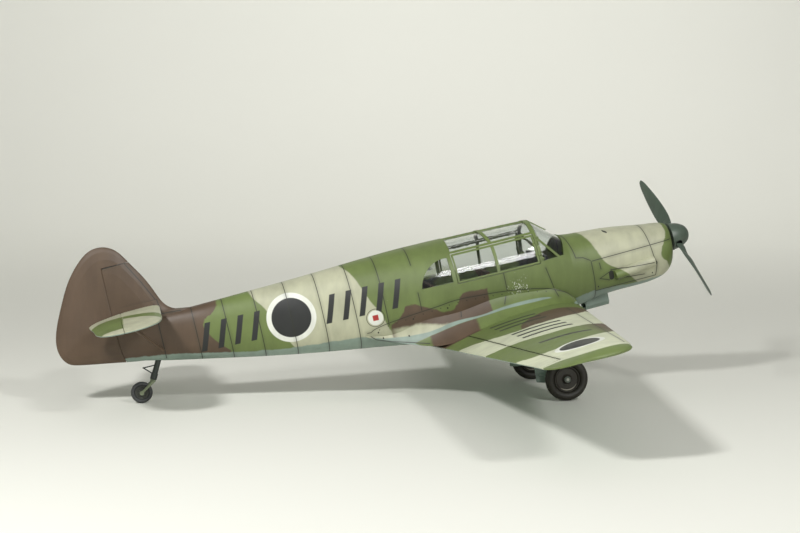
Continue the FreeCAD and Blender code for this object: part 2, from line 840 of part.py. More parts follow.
def cooler_loop(station, bottom, inset, top):
    half = cooler_width / 2 - inset
    chamfer = cooler_chamfer - inset
    return polygon([at(station, -half, top), at(station, -half, bottom + inset + chamfer),
                    at(station, -half + chamfer, bottom + inset), at(station, half - chamfer, bottom + inset),
                    at(station, half, bottom + inset + chamfer), at(station, half, top)])


def build_cooler(hull):
    """Open-ended duct under the nose; its roof follows the cowl."""
    low = firewall_ring[2] + 0.3 - cooler_depth
    high = low - 0.1
    outer = Part.makeLoft([cooler_loop(cooler_front, low, 0, -9.5), cooler_loop(cooler_rear, high, 0, -9.5)],
                          True, True)
    roof = firewall_ring[2] - cooler_wall
    bore = Part.makeLoft([cooler_loop(cooler_front - 0.5, low, cooler_wall, roof),
                          cooler_loop(cooler_rear + 0.5, high, cooler_wall, roof - 0.4)], True, True)
    return largest(outer.cut(hull).cut(bore))


def dome_arcs(inset):
    """Two arcs from the dome's rim to its tip, inset evenly for the inside."""
    base = at(spinner_base, spinner_radius - inset, 0)
    shoulder = at(2.9, 3.3 - inset, 0)
    cheek = at(1.2 + 0.6 * inset, 2.45 - 0.75 * inset, 0)
    brow = at(0.35 + 0.9 * inset, 1.4 - 0.45 * inset, 0)
    tip = at(inset, 0, 0)
    return [Part.Arc(base, shoulder, cheek).toShape(), Part.Arc(cheek, brow, tip).toShape()]


def spinner_dome():
    outer = dome_arcs(0.0)
    inner = dome_arcs(spinner_wall)
    rim = Part.makeLine(at(spinner_base, spinner_radius, 0), at(spinner_base, spinner_radius - spinner_wall, 0))
    tip = Part.makeLine(at(0, 0, 0), at(spinner_wall, 0, 0))
    wire = Part.Wire(Part.__sortEdges__(outer + [tip] + inner + [rim]))
    dome = Part.Face(wire).revolve(Vec(0, 0, 0), Vec(1, 0, 0), 360)
    return dome.cut(rod(at(-1, 0, 0), at(spinner_flat, 0, 0), spinner_radius))


def build_propeller():
    spinner = spinner_dome()
    axis = Vec(0, math.sin(math.radians(blade_turn)), math.cos(math.radians(blade_turn)))
    centre = at(blade_station, 0, 0)
    spinner = spinner.cut(rod(centre - axis * 8, centre + axis * 8, blade_root_radius + blade_clearance))
    keep("spinner", largest(spinner))
    plate_end = spinner_base + backplate_thickness
    hub = rod(at(spinner_base, 0, 0), at(plate_end, 0, 0), spinner_radius + 0.15)
    hub = hub.fuse(rod(at(1.6, 0, 0), at(spinner_base + 0.1, 0, 0), hub_radius))
    hub = hub.cut(rod(centre - axis * 8, centre + axis * 8, blade_root_radius))
    hub = hub.cut(rod(at(2.9, 0, 0), at(8, 0, 0), shaft_radius))
    keep("propeller_hub", largest(hub))
    tail = firewall_ring[0] + 1.6
    shaft = rod(at(2.9, 0, 0), at(tail, 0, 0), shaft_radius)
    shaft = shaft.cut(rod(centre - axis * 8, centre + axis * 8, blade_root_radius))
    collar = rod(at(tail - 1.2, 0, 0), at(tail, 0, 0), shaft_radius + 0.7)
    keep("propeller_shaft", largest(shaft.fuse(collar)))
    bush_front = firewall_ring[0] - bearing_length
    bush = rod(at(bush_front, 0, 0), at(firewall_ring[0], 0, 0), shaft_radius + bearing_wall)
    keep("shaft_bush", bush.cut(rod(at(0, 0, 0), at(60, 0, 0), shaft_radius + fit)))
    keep("propeller_blades", Part.makeCompound([blade(axis, 1), blade(axis, -1)]))


def blade(axis, side):
    """One blade: twisted thin sections, leading edge forward in the turning direction."""
    centre = at(blade_station, 0, 0)
    out = axis * side
    forward = Vec(1, 0, 0)
    motion = forward.cross(out)
    wires = []
    for radius, chord, pitch in blade_sections:
        turn = math.radians(pitch)
        along = motion * math.cos(turn) + forward * math.sin(turn)
        thick = forward * math.cos(turn) - motion * math.sin(turn)
        middle = centre + out * radius
        depth = blade_depth[chord >= blade_broad] * chord
        points = []
        for share, rise in blade_section:
            points.append(middle + along * (share * chord) + thick * (rise * depth))
        wires.append(closed_curve(points))
    body = Part.makeLoft(wires, True, False)
    root = rod(centre + out * 0.95, centre + out * 3.9, blade_root_radius)
    return largest(body.fuse(root))


def build_canopy():
    frame_skin = skin(0.0, pane)
    clear_skin = skin(pane, 2 * pane)
    cabin = screen_zone(0.0, sill_height, canopy_end)
    door = door_zone(-door_gap)
    doors = door.fuse(mirrored(door))
    bars = cabin.cut(screen_zone(foot_bar, sill_height, canopy_end))
    bars = bars.fuse(screen_zone(0.0, sill_height, front_arch[1]).cut(
        block(0, 100, -20, 20, sill_height + foot_bar, 40)))
    bars = bars.fuse(block(*front_arch, -20, 20, sill_height, 30))
    bars = bars.fuse(block(*rear_arch, -20, 20, sill_height, 30))
    bars = bars.fuse(block(front_arch[0], canopy_end, -20, 20, rail_low, rail_high))
    bars = bars.fuse(block(windshield_foot, canopy_end, -ridge_half, ridge_half, rail_low - bar, 30))
    crown = cabin_ring[1] + 1
    bars = bars.fuse(side_bar((middle_bar, rail_low), (middle_bar + middle_lean, crown), bar * 1.1))
    bars = bars.fuse(side_bar((brace_foot, sill_height), (front_arch[0] + 0.4, brace_top), bar * 0.75))
    frame = frame_skin.common(bars).common(cabin).cut(doors)
    lugs = door_hinge_lugs()
    room = knuckle_room()
    frame = frame.cut(room).cut(mirrored(room)).fuse(lugs).fuse(mirrored(lugs))
    keep("canopy_frame", largest(frame))
    glass_zone = clear_skin.common(cabin).cut(doors).cut(room).cut(mirrored(room))
    screen = glass_zone.common(block(0, front_arch[1], -20, 20, 0, 30)).cut(frame)
    keep("windshield_glass", largest(screen))
    roof = block(front_arch[1], canopy_end, -20, 20, rail_low, 30)
    keep("roof_glass", largest(glass_zone.common(roof)))
    shrunk = window_form(0.0)
    quarter = clear_skin.common(shrunk)
    quarter_left = largest(quarter.common(port_half))
    keep("quarter_windows", Part.makeCompound([quarter_left, mirrored(quarter_left)]))
    build_doors(frame_skin, clear_skin)


def door_hinge_lugs():
    """Pin along the port door's hinge line with a lug at each end onto the front arch."""
    low, high = door_hinge_axis()
    pin = rod(low, high, hinge_pin)
    parts = [pin]
    for share in lug_shares:
        point = low + (high - low) * share
        parts.append(Part.makeBox(1.2, 1.2, 0.5, point + Vec(-0.1, -1.1, -0.25)))
    return fuse(parts)


def knuckle_room():
    """Space that the port door's two knuckles turn in."""
    low, high = door_hinge_axis()
    along = high - low
    along.normalize()
    rooms = []
    for share in knuckle_shares:
        middle = low + (high - low) * share
        reach = along * (knuckle_half + gap)
        rooms.append(rod(middle - reach, middle + reach, hinge_knuckle + gap))
    return fuse(rooms)


def door_knuckles(bore):
    low, high = door_hinge_axis()
    shapes = []
    along = high - low
    along.normalize()
    for share in knuckle_shares:
        middle = low + (high - low) * share
        half = along * knuckle_half
        tube = rod(middle - half, middle + half, hinge_knuckle)
        tab = Part.makeBox(0.7, 0.55, 0.8, middle + Vec(-0.95, -0.5, -0.4))
        shapes.append(tube.fuse(tab))
    return shapes, rod(low, high, hinge_pin + bore)


def build_doors(frame_skin, clear_skin):
    zone = door_zone()
    inner = door_zone(door_bar)
    middle = side_bar((middle_bar, door_low), (middle_bar, door_high), bar)
    frame = frame_skin.common(zone.cut(inner).fuse(middle.common(zone)))
    knuckles, bore = door_knuckles(fit)
    for piece in knuckles:
        frame = frame.fuse(piece)
    frame = largest(frame.cut(bore))
    glass = largest(clear_skin.common(door_zone(pane_inset)))
    glass = largest(glass.cut(frame))
    for side, name in ((1, "left"), (-1, "right")):
        keep("door_frame_" + name, side_of(frame, side))
        keep("door_glass_" + name, side_of(glass, side))


def build_cabin(hull_inner):
    floor_zone = block(*floor_span, -20, 20, floor_height - floor_thickness, floor_height)
    keep("cabin_floor", largest(hull_inner.common(floor_zone)))
    panel_zone = block(panel_station, panel_station + panel_thickness, -20, 20, floor_height, panel_top)
    keep("instrument_panel", largest(hull_inner.common(panel_zone)))
    bulk_zone = block(*bulkhead_span, -20, 20, floor_height, 20)
    keep("rear_bulkhead", largest(hull_inner.common(bulk_zone)))
    seats = []
    sticks = []
    for side in (1, -1):
        y = side * seat_side
        seats.append(seat(front_seat_station, y, seat_width))
        foot = at(front_seat_station - stick_lead, y, floor_height)
        top = foot + Vec(-stick_lean, 0, stick_height)
        sticks.append(rod(foot, top, stick_radius).fuse(Part.makeSphere(knob_radius, top)))
    keep("front_seats", Part.makeCompound(seats))
    keep("control_sticks", Part.makeCompound(sticks))
    keep("rear_bench", seat(bench_station, 0.0, bench_width))


def seat(station, y, width):
    """Bucket seat: pan, raked back and two low side walls on a pedestal."""
    half = width / 2
    pan_height = floor_height + seat_pan
    top = floor_height + seat_back + seat_top
    side = [at(station, y - half, floor_height), at(station + seat_depth - 1.0, y - half, floor_height),
            at(station + seat_depth + seat_rake, y - half, top),
            at(station + seat_depth + seat_rake - 0.9, y - half, top),
            at(station + seat_depth - 1.6, y - half, pan_height),
            at(station, y - half, pan_height + 0.3)]
    body = prism(side, Vec(0, width, 0))
    walls = [at(station + 0.6, y - half, pan_height), at(station + seat_depth - 1.0, y - half, pan_height),
             at(station + seat_depth, y - half, pan_height + 4.0), at(station + 1.0, y - half, pan_height + 1.6)]
    wall_left = prism(walls, Vec(0, seat_wall, 0))
    wall_right = wall_left.translated(Vec(0, width - seat_wall, 0))
    return largest(fuse([body, wall_left, wall_right]))


def ring_profile(points):
    wire = polygon([Vec(0, y, r) for y, r in points])
    return Part.Face(wire).revolve(Vec(0, 0, 0), Vec(0, 1, 0), 360)


def wheel(centre, radius, width, rim, axle):
    """Tyre and hub: a round-shouldered tyre on a dished hub with a bore."""
    tread = width / 2
    core = rim + tyre_clearance
    bulge = radius - rim
    tyre = Part.makeTorus(rim + bulge / 2, bulge / 2, Vec(0, 0, 0), Vec(0, 1, 0))
    stretch = FreeCAD.Matrix()
    stretch.scale(1, width / bulge, 1)
    tyre = tyre.transformGeometry(stretch)
    tyre = tyre.cut(Part.makeCylinder(core, width + 2, Vec(0, -width / 2 - 1, 0), Vec(0, 1, 0)))
    dish = tread * dish_share
    hub = ring_profile([(-dish, axle), (dish * 0.55, axle), (dish * 0.95, axle + 0.25), (dish * 0.7, axle + 0.5),
                        (dish * 0.45, axle + 0.7), (dish * 0.45, rim - 0.5), (dish * 0.8, rim - 0.2),
                        (dish * 0.8, core), (-dish * 0.8, core), (-dish * 0.8, rim - 0.2), (-dish * 0.45, rim - 0.5),
                        (-dish * 0.45, axle + 0.7), (-dish, axle + 0.5)])
    return tyre.translated(centre), hub.translated(centre)


def main_axle_height():
    """Height of the main axles that stands all three wheels on one floor."""
    turn = math.radians(stance_angle)
    floor = tail_axle[1] * math.cos(turn) - tail_axle[0] * math.sin(turn) - tail_wheel_radius
    return (floor + wheel_radius + wheel_station * math.sin(turn)) / math.cos(turn)


wheel_height = main_axle_height()


def build_gear(wing_both):
    centre = at(wheel_station, track_half, wheel_height)
    tyre, hub = wheel(centre, wheel_radius, tyre_width, rim_radius, axle_radius + fit)
    hub_inner = tyre_width / 2 * dish_share
    knee = centre + Vec(0, -hub_inner - 0.25 - oleo_radius, 0)
    top = at(*leg_top)
    line = knee - top
    upper = rod(top, top + line * leg_share, leg_radius)
    lower = rod(top + line * leg_share, knee, oleo_radius)
    knuckle = Part.makeSphere(oleo_radius + 0.15, knee)
    axle = rod(knee, centre + Vec(0, hub_inner * 0.95 + 0.3, 0), axle_radius)
    cap = rod(centre + Vec(0, hub_inner + 0.05, 0), centre + Vec(0, hub_inner + 0.35, 0), cap_radius)
    leg = fuse([upper, lower, knuckle, axle, cap]).cut(wing_both)
    leg = largest(leg)
    direction = Vec(line)
    direction.normalize()
    inboard = direction.cross(Vec(1, 0, 0))
    if inboard.y > 0:
        inboard = inboard * -1
    offset = inboard * leg_radius
    fore = door_width * (1 - door_aft_share)
    reach = line.Length

    def on_door(back, down):
        return top + offset + direction * (reach * down) + Vec(fore - door_width * back, 0, 0)

    door = prism([on_door(back, down) for back, down in door_corners], inboard * door_thickness)
    rib = rod(on_door(*rib_ends[0]), on_door(*rib_ends[1]), rib_radius)
    door = largest(door.fuse(rib).cut(leg).cut(wing_both))
    for side, name in ((1, "left"), (-1, "right")):
        keep("gear_leg_" + name, side_of(leg, side))
        keep("tyre_" + name, side_of(tyre, side))
        keep("wheel_hub_" + name, side_of(hub, side))
    keep("gear_doors", Part.makeCompound([door, mirrored(door)]))


def leg_line():
    top = at(leg_pivot[0], 0, leg_pivot[1])
    foot = at(leg_foot[0], 0, leg_foot[1])
    return top, foot


def tail_leg_bore():
    top, foot = leg_line()
    direction = foot - top
    direction.normalize()
    return rod(top - direction * 3.2, foot, tail_leg_radius + fit)


def build_tail_wheel():
    top, foot = leg_line()
    direction = foot - top
    direction.normalize()
    leg = rod(top - direction * 2.8, foot, tail_leg_radius)
    sleeve = rod(foot - direction * 1.6, foot, tail_leg_radius + 0.15)
    leg = leg.fuse(sleeve)
    keep("tail_leg", largest(leg))
    aft = at(link_corner[0], 0, link_corner[1])
    upper = top + direction * 0.9
    lower = foot - direction * 1.2
    link = fuse([rod(upper, aft, link_radius), rod(aft, lower, link_radius),
                 Part.makeSphere(link_radius * 1.5, aft)])
    keep("steering_link", largest(link.cut(leg)))
    axle = at(tail_axle[0], 0, tail_axle[1])
    spread = tail_tyre_width / 2 + fork_arm + gap
    crown = foot + direction * 0.55
    parts = [rod(foot, crown, tail_leg_radius), rod(crown + Vec(0, -spread, 0), crown + Vec(0, spread, 0), 0.45)]
    for side in (1, -1):
        shoulder = crown + Vec(0, side * spread, 0)
        parts.append(Part.makeSphere(0.46, shoulder))
        parts.append(rod(shoulder, axle + Vec(0, side * spread, 0), fork_arm))
        parts.append(rod(axle + Vec(0, side * (spread - 0.25), 0), axle + Vec(0, side * (spread + 0.3), 0), 0.55))
    parts.append(rod(axle + Vec(0, -spread, 0), axle + Vec(0, spread, 0), tail_axle_radius))
    fork = fuse(parts).cut(leg)
    keep("tail_fork", largest(fork))
    tyre, hub = wheel(axle, tail_wheel_radius, tail_tyre_width, tail_rim_radius, tail_axle_radius + fit)
    keep("tail_tyre", tyre)
    keep("tail_wheel_hub", hub)


# ---------------------------------------------------------------- assembly
def stand_up(point):
    """Airframe frame to the row frame, without the final shift."""
    turn = math.radians(stance_angle)
    return Vec(point.x * math.cos(turn) - point.z * math.sin(turn), point.y,
               point.x * math.sin(turn) + point.z * math.cos(turn))


def export_all():
    os.makedirs("parts", exist_ok=True)
    box = FreeCAD.BoundBox()
    for name in nodes:
        nodes[name] = nodes[name].rotated(Vec(0, 0, 0), Vec(0, 1, 0), -stance_angle)
        box.add(nodes[name].optimalBoundingBox(False))
    shift = Vec(-box.Center.x, -box.Center.y, -box.ZMin)
    for name, shape in nodes.items():
        shape.translated(shift).exportStep("parts/" + name + ".step")
    return shift


def report_joints(shift):
    """Print the hinge points and directions in the row frame, in metres."""
    low, high = door_hinge_axis()
    top, foot = leg_line()
    points = {
        "propeller": (at(0, 0, 0), Vec(1, 0, 0)),
        "wheel_left": (at(wheel_station, track_half, wheel_height), Vec(0, 1, 0)),
        "tail_wheel": (at(tail_axle[0], 0, tail_axle[1]), Vec(0, 1, 0)),
        "tail_leg": (foot, top - foot),
        "rudder": (at(rudder_axis, 0, 0), Vec(0, 0, 1)),
        "elevators": (elevator_axis(), Vec(0, 1, 0)),
        "flap_left": (hinge_point(flap_span[0]), hinge_point(flap_span[1]) - hinge_point(flap_span[0])),
        "aileron_left": (hinge_point(aileron_span[0]), hinge_point(aileron_span[1]) - hinge_point(aileron_span[0])),
        "door_left": (low, high - low),
    }
    for name, (point, axis) in points.items():
        where = (stand_up(point) + shift) * 0.001
        axis.normalize()
        turned = stand_up(axis)
        print("%-13s %.6f %.6f %.6f  axis %.6f %.6f %.6f" % (name, *where, *turned))


def build_all():
    hull = body_form()
    hull_inner = body_form(wall)
    wing_port = wing_form()
    wing_both = wing_port.fuse(mirrored(wing_port))
    fin = fin_form()
    plane = plane_form()
    build_wing(wing_port)
    build_fillets(hull, wing_port)
    tail_solid = build_fuselage(hull, hull_inner, fin, wing_both)
    build_fin(fin)
    build_tailplane(plane, tail_solid, fin)
    build_cowling(hull, hull_inner)
    build_propeller()
    build_canopy()
    build_cabin(hull_inner)
    build_gear(wing_both)
    build_tail_wheel()


build_all()
report_joints(export_all())
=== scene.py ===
import json
import math

import bmesh
import bpy
from mathutils import Matrix, Vector

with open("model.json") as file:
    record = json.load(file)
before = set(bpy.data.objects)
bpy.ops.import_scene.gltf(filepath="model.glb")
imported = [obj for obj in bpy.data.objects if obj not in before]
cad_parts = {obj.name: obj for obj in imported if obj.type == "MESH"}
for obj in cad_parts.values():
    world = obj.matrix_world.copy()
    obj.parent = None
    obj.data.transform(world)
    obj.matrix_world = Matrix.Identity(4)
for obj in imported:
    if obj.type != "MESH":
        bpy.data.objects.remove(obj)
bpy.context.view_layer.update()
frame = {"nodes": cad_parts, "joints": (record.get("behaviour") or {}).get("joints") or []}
nodes = frame["nodes"]
jointOf = {joint["name"]: joint for joint in frame["joints"]}
print("frame loaded:", len(nodes), "nodes")

# The aeroplane's own axes: station is mm aft of the spinner's tip, side is mm to port,
# height is mm above the thrust line.
spinnerTip = Vector(jointOf["propeller_spin"]["pos_m"])
thrustAxis = Vector(jointOf["propeller_spin"]["axis"]).normalized()
upAxis = Vector((-thrustAxis.z, 0, thrustAxis.x))
mmPerMetre = 1000
farAway = 99.0  # mm, stands for no line at all


def profileOf(jointName):
    # the station and height of a joint
    offset = (Vector(jointOf[jointName]["pos_m"]) - spinnerTip) * mmPerMetre
    return -offset.dot(thrustAxis), offset.dot(upAxis)


def srgb(red, green, blue):
    linear = [((c / 255 + 0.055) / 1.055) ** 2.4 if c > 10 else c / 255 / 12.92 for c in (red, green, blue)]
    return (*linear, 1.0)


def calc(tree, operation, *terms, clamp=False):
    node = tree.nodes.new("ShaderNodeMath")
    node.operation = operation
    node.use_clamp = clamp
    for index, term in enumerate(terms):
        if isinstance(term, (int, float)):
            node.inputs[index].default_value = term
        else:
            tree.links.new(term, node.inputs[index])
    return node.outputs[0]


def vectorCalc(tree, operation, *terms):
    node = tree.nodes.new("ShaderNodeVectorMath")
    node.operation = operation
    for index, term in enumerate(terms):
        if isinstance(term, (tuple, list, Vector)):
            node.inputs[index].default_value = term
        else:
            tree.links.new(term, node.inputs[index])
    return node.outputs["Value" if operation in ("DISTANCE", "DOT_PRODUCT") else "Vector"]


def ramp(tree, value, low, high, start=0.0, end=1.0):
    node = tree.nodes.new("ShaderNodeMapRange")
    node.interpolation_type = "SMOOTHSTEP"
    terms = {"Value": value, "From Min": low, "From Max": high, "To Min": start, "To Max": end}
    for name, term in terms.items():
        if isinstance(term, (int, float)):
            node.inputs[name].default_value = term
        else:
            tree.links.new(term, node.inputs[name])
    return node.outputs["Result"]


def mixColour(tree, mask, under, over, blend="MIX"):
    node = tree.nodes.new("ShaderNodeMix")
    node.data_type = "RGBA"
    node.blend_type = blend
    for socket, term in ((node.inputs[0], mask), (node.inputs[6], under), (node.inputs[7], over)):
        if isinstance(term, (int, float, tuple)):
            socket.default_value = term
        else:
            tree.links.new(term, socket)
    return node.outputs[2]


def noise(tree, vector, scale, detail, roughness=0.55):
    node = tree.nodes.new("ShaderNodeTexNoise")
    node.inputs["Scale"].default_value = scale
    node.inputs["Detail"].default_value = detail
    node.inputs["Roughness"].default_value = roughness
    tree.links.new(vector, node.inputs["Vector"])
    return node.outputs["Fac"]


def newGroup(name, takes, gives):
    group = bpy.data.node_groups.new(name, "ShaderNodeTree")
    for label, kind, value in takes:
        socket = group.interface.new_socket(name=label, in_out="INPUT", socket_type=kind)
        if value is not None:
            socket.default_value = value
    for label, kind in gives:
        group.interface.new_socket(name=label, in_out="OUTPUT", socket_type=kind)
    source = group.nodes.new("NodeGroupInput")
    result = group.nodes.new("NodeGroupOutput")
    return group, source.outputs, result.inputs


def useGroup(tree, group, **values):
    node = tree.nodes.new("ShaderNodeGroup")
    node.node_tree = group
    for label, term in values.items():
        socket = node.inputs[label]
        if isinstance(term, (int, float, tuple, Vector)):
            socket.default_value = term
        else:
            tree.links.new(term, socket)
    return node.outputs


def buildStationGroup():
    group, takes, gives = newGroup(
        "modelCoordinates", [("Vector", "NodeSocketVector", None)],
        [("Station", "NodeSocketFloat"), ("Side", "NodeSocketFloat"), ("Height", "NodeSocketFloat"),
         ("Profile", "NodeSocketVector"), ("Plan", "NodeSocketVector")])
    local = vectorCalc(group, "SUBTRACT", takes["Vector"], spinnerTip)
    station = vectorCalc(group, "DOT_PRODUCT", local, -mmPerMetre * thrustAxis)
    side = vectorCalc(group, "DOT_PRODUCT", local, Vector((0, mmPerMetre, 0)))
    height = vectorCalc(group, "DOT_PRODUCT", local, mmPerMetre * upAxis)
    for label, term in (("Station", station), ("Side", side), ("Height", height)):
        group.links.new(term, gives[label])
    for label, second in (("Profile", height), ("Plan", calc(group, "ABSOLUTE", side))):
        join = group.nodes.new("ShaderNodeCombineXYZ")
        group.links.new(station, join.inputs[0])
        group.links.new(second, join.inputs[1])
        group.links.new(join.outputs[0], gives[label])
    return group


def buildLineGroup():
    # the distance to a line from Start by Along, where Reach is 1 / its length squared
    group, takes, gives = newGroup(
        "lineDistance",
        [("Point", "NodeSocketVector", None), ("Start", "NodeSocketVector", (0, 0, 0)),
         ("Along", "NodeSocketVector", (1, 0, 0)), ("Reach", "NodeSocketFloat", 1.0),
         ("Nearest", "NodeSocketFloat", farAway)],
        [("Distance", "NodeSocketFloat")])
    offset = vectorCalc(group, "SUBTRACT", takes["Point"], takes["Start"])
    along = vectorCalc(group, "DOT_PRODUCT", offset, takes["Along"])
    share = calc(group, "MULTIPLY", along, takes["Reach"], clamp=True)
    scaled = group.nodes.new("ShaderNodeVectorMath")
    scaled.operation = "SCALE"
    group.links.new(takes["Along"], scaled.inputs[0])
    group.links.new(share, scaled.inputs["Scale"])
    away = vectorCalc(group, "DISTANCE", offset, scaled.outputs[0])
    group.links.new(calc(group, "MINIMUM", away, takes["Nearest"]), gives["Distance"])
    return group


wear = {  # noises as (scale, detail), their strengths, and the ranges that they are read over
    "mottle": (90, 4), "grain": (2600, 2), "streak": (420, 3), "streakStretch": (1.0, 1.0, 0.22),
    "streakShare": 0.6, "toneRange": (0.45, 1.15), "contrast": 0.16,
    "lineWidth": 0.12, "lineFade": (1.3, 0.35), "washReach": 9,
    "washShare": 0.2, "lineShare": 0.95, "lineDepth": 0.00005,
    "mottleRange": (0.2, 0.8), "roughnessSwing": 0.09, "grainHeight": 0.12, "bump": 0.25,
}


def buildWearGroup():
    group, takes, gives = newGroup(
        "brushedPaint", [("Vector", "NodeSocketVector", None)],
        [("Mottle", "NodeSocketFloat"), ("Grain", "NodeSocketFloat"), ("Streak", "NodeSocketFloat")])
    group.links.new(noise(group, takes["Vector"], *wear["mottle"]), gives["Mottle"])
    group.links.new(noise(group, takes["Vector"], *wear["grain"]), gives["Grain"])
    stretch = group.nodes.new("ShaderNodeMapping")
    stretch.inputs["Scale"].default_value = wear["streakStretch"]
    group.links.new(takes["Vector"], stretch.inputs["Vector"])
    group.links.new(noise(group, stretch.outputs[0], *wear["streak"]), gives["Streak"])
    return group


stationGroup = buildStationGroup()
lineGroup = buildLineGroup()
wearGroup = buildWearGroup()


def curveAlong(tree, value, points):
    # a smooth curve through the points, read at value
    xs = [x for x, y in points]
    ys = [y for x, y in points]
    lowX, highX, lowY, highY = min(xs), max(xs), min(ys), max(ys)
    share = tree.nodes.new("ShaderNodeMapRange")
    tree.links.new(value, share.inputs["Value"])
    share.inputs["From Min"].default_value = lowX
    share.inputs["From Max"].default_value = highX
    curve = tree.nodes.new("ShaderNodeFloatCurve")
    line = curve.mapping.curves[0]
    placed = sorted(((x - lowX) / (highX - lowX), (y - lowY) / (highY - lowY)) for x, y in points)
    line.points[0].location = placed[0]
    line.points[1].location = placed[-1]
    for spot in placed[1:-1]:
        line.points.new(*spot)
    curve.mapping.update()
    tree.links.new(share.outputs["Result"], curve.inputs["Value"])
    back = tree.nodes.new("ShaderNodeMapRange")
    tree.links.new(curve.outputs[0], back.inputs["Value"])
    back.inputs["To Min"].default_value = lowY
    back.inputs["To Max"].default_value = highY
    return back.outputs["Result"]


soft = {  # mm to each side of an edge over which one colour passes into the next
    "chip": 0.02, "dot": 0.05, "spot": 0.06, "rim": 0.08, "marking": 0.1, "bar": 0.12,
    "crest": 0.15, "belly": 0.2, "edge": 0.25, "wingBrush": 0.4, "brush": 0.5, "wide": 0.6,
    "loose": 0.8, "looser": 1.2, "broad": 3.0,
}


def above(tree, value, edge, softness=soft["edge"]):
    # 1 where value is more than edge, 0 where it is less
    return ramp(tree, calc(tree, "SUBTRACT", value, edge), -softness, softness)


def between(tree, value, low, high, softness=soft["edge"]):
    return calc(tree, "MULTIPLY", above(tree, value, low, softness), above(tree, high, value, softness))


def both(tree, *masks):
    mask = masks[0]
    for other in masks[1:]:
        mask = calc(tree, "MULTIPLY", mask, other)
    return mask


paint = {
    "green": srgb(105, 121, 65),
    "cream": srgb(182, 183, 156),
    # the wings' cream is lighter than the body's cream, as painted light for the sheen on the wings
    "wingCreamPaintedSheen": srgb(204, 208, 180),
    "brown": srgb(89, 71, 54),
    "underside": srgb(136, 154, 142),
    "ink": srgb(36, 38, 28),
    "chip": srgb(226, 228, 214),
    "white": srgb(226, 228, 218),
    "black": srgb(34, 36, 35),
    "red": srgb(168, 44, 40),
    # cabin is painted shade for the inside of the cabin walls
    "cabin": srgb(46, 54, 40),
    # rim is the colour of a painted highlight on the wheel rims
    "rim": srgb(176, 172, 158),
    "axle": srgb(46, 43, 34),
    "axleEnd": srgb(190, 188, 176),
    "propeller": srgb(78, 92, 79),
    "cabinParts": srgb(52, 58, 46),
    "instruments": srgb(30, 31, 30),
    "seat": srgb(84, 62, 44),
    "steel": srgb(150, 150, 148),
    "mainTyre": srgb(34, 31, 16),
    "tailTyre": srgb(58, 60, 60),
    "hub": srgb(44, 40, 30),
    "tailHub": srgb(70, 72, 66),
    "tailLeg": srgb(46, 54, 48),
    "tailFork": srgb(135, 145, 115),
    "clear": srgb(238, 242, 240),
}

bodyCamouflage = {  # (height, station) down each boundary, or (station, height) along it
    "brownToGreen": [(15.1, 129.3), (12.6, 131.0), (11.5, 131.3), (10.0, 132.9), (7.6, 135.6), (4.8, 134.7),
                     (1.9, 132.7), (-0.6, 130.3)],
    "greenToCream": [(15.3, 122.7), (11.9, 121.8), (8.3, 119.3), (3.2, 117.1), (-2.1, 114.7),
                     (-4.2, 113.5)],
    "creamToGreen": [(15.0, 98.4), (13.7, 97.0), (12.0, 95.4), (9.4, 94.1), (6.6, 93.1), (3.6, 91.9),
                     (1.1, 90.6), (-4.0, 88.7), (-7.5, 87.4)],
    "noseCream": [(8.4, 33.6), (7.1, 31.1), (6.0, 30.4), (3.9, 29.5), (1.1, 28.4), (-1.6, 26.9),
                  (-3.8, 23.9), (-5.0, 22.5), (-8.3, 19.3), (-11.1, 17.0)],
    "noseGreen": [(8.0, 7.9), (4.0, 8.1), (2.7, 8.2), (-0.2, 9.7), (-3.2, 10.9), (-5.3, 9.6), (-8.0, 8.5)],
    "brownPatchTop": [(60.6, 0.3), (63.2, 0.2), (67.1, 0.5), (68.6, -0.4), (70.0, -2.2), (72.8, -3.5),
                      (75.5, -2.3), (79.1, -0.6), (82.6, 0.6), (84.0, -0.7), (85.4, -2.1), (88.6, -4.0)],
    # the band between the next two edges is a painted reflection along the wing root
    "sheenBandTop": [(44.0, -6.6), (45.9, -6.0), (48.7, -5.6), (52.9, -5.4), (57.0, -5.5), (61.2, -5.9),
                 (65.3, -6.3), (69.4, -6.3), (72.7, -6.5), (76.5, -7.2), (81.8, -7.6), (88.0, -7.2),
                 (93.7, -5.7)],
    "sheenBandLow": [(44.0, -6.7), (46.1, -6.4), (49.2, -6.3), (53.3, -6.2), (57.4, -6.2), (61.5, -6.5),
                 (65.6, -6.8), (69.6, -7.1), (72.7, -7.5), (76.2, -8.1), (79.9, -8.8), (86.0, -10.5)],
    "undersideTop": [(0.0, -9.2), (12.6, -9.1), (18.9, -9.1), (26.4, -8.6), (32.3, -8.3), (35.6, -8.6),
                     (38.0, -9.3), (42.0, -12.5), (78.0, -11.5), (84.2, -9.0), (88.2, -7.8), (93.8, -5.9),
                     (97.1, -5.2), (112.3, -4.0), (123.0, -2.7), (129.8, -1.4), (137.6, 0.2), (145.9, 1.8),
                     (152.1, 2.7), (158.0, 3.4)],
    "patchSpan": (61.2, 88.0), "paleSpan": (72.5, 87.5), "sheenBandSpan": (45.0, 92.0),
    "rootSpan": (44.0, 86.0), "rootBrownSpan": (66.0, 79.0),
    "paleRise": (73.0, 82.0, -6.6, -5.0),  # from the first station to the second, between the two heights
    "wanderNoise": (600, 2), "wander": 0.8,
}


def wanderOf(tree, vector, shape):
    # mm by which a boundary strays from its curve, as a brush does
    drift = calc(tree, "SUBTRACT", noise(tree, vector, *shape["wanderNoise"]), 0.5)
    return calc(tree, "MULTIPLY", drift, shape["wander"])


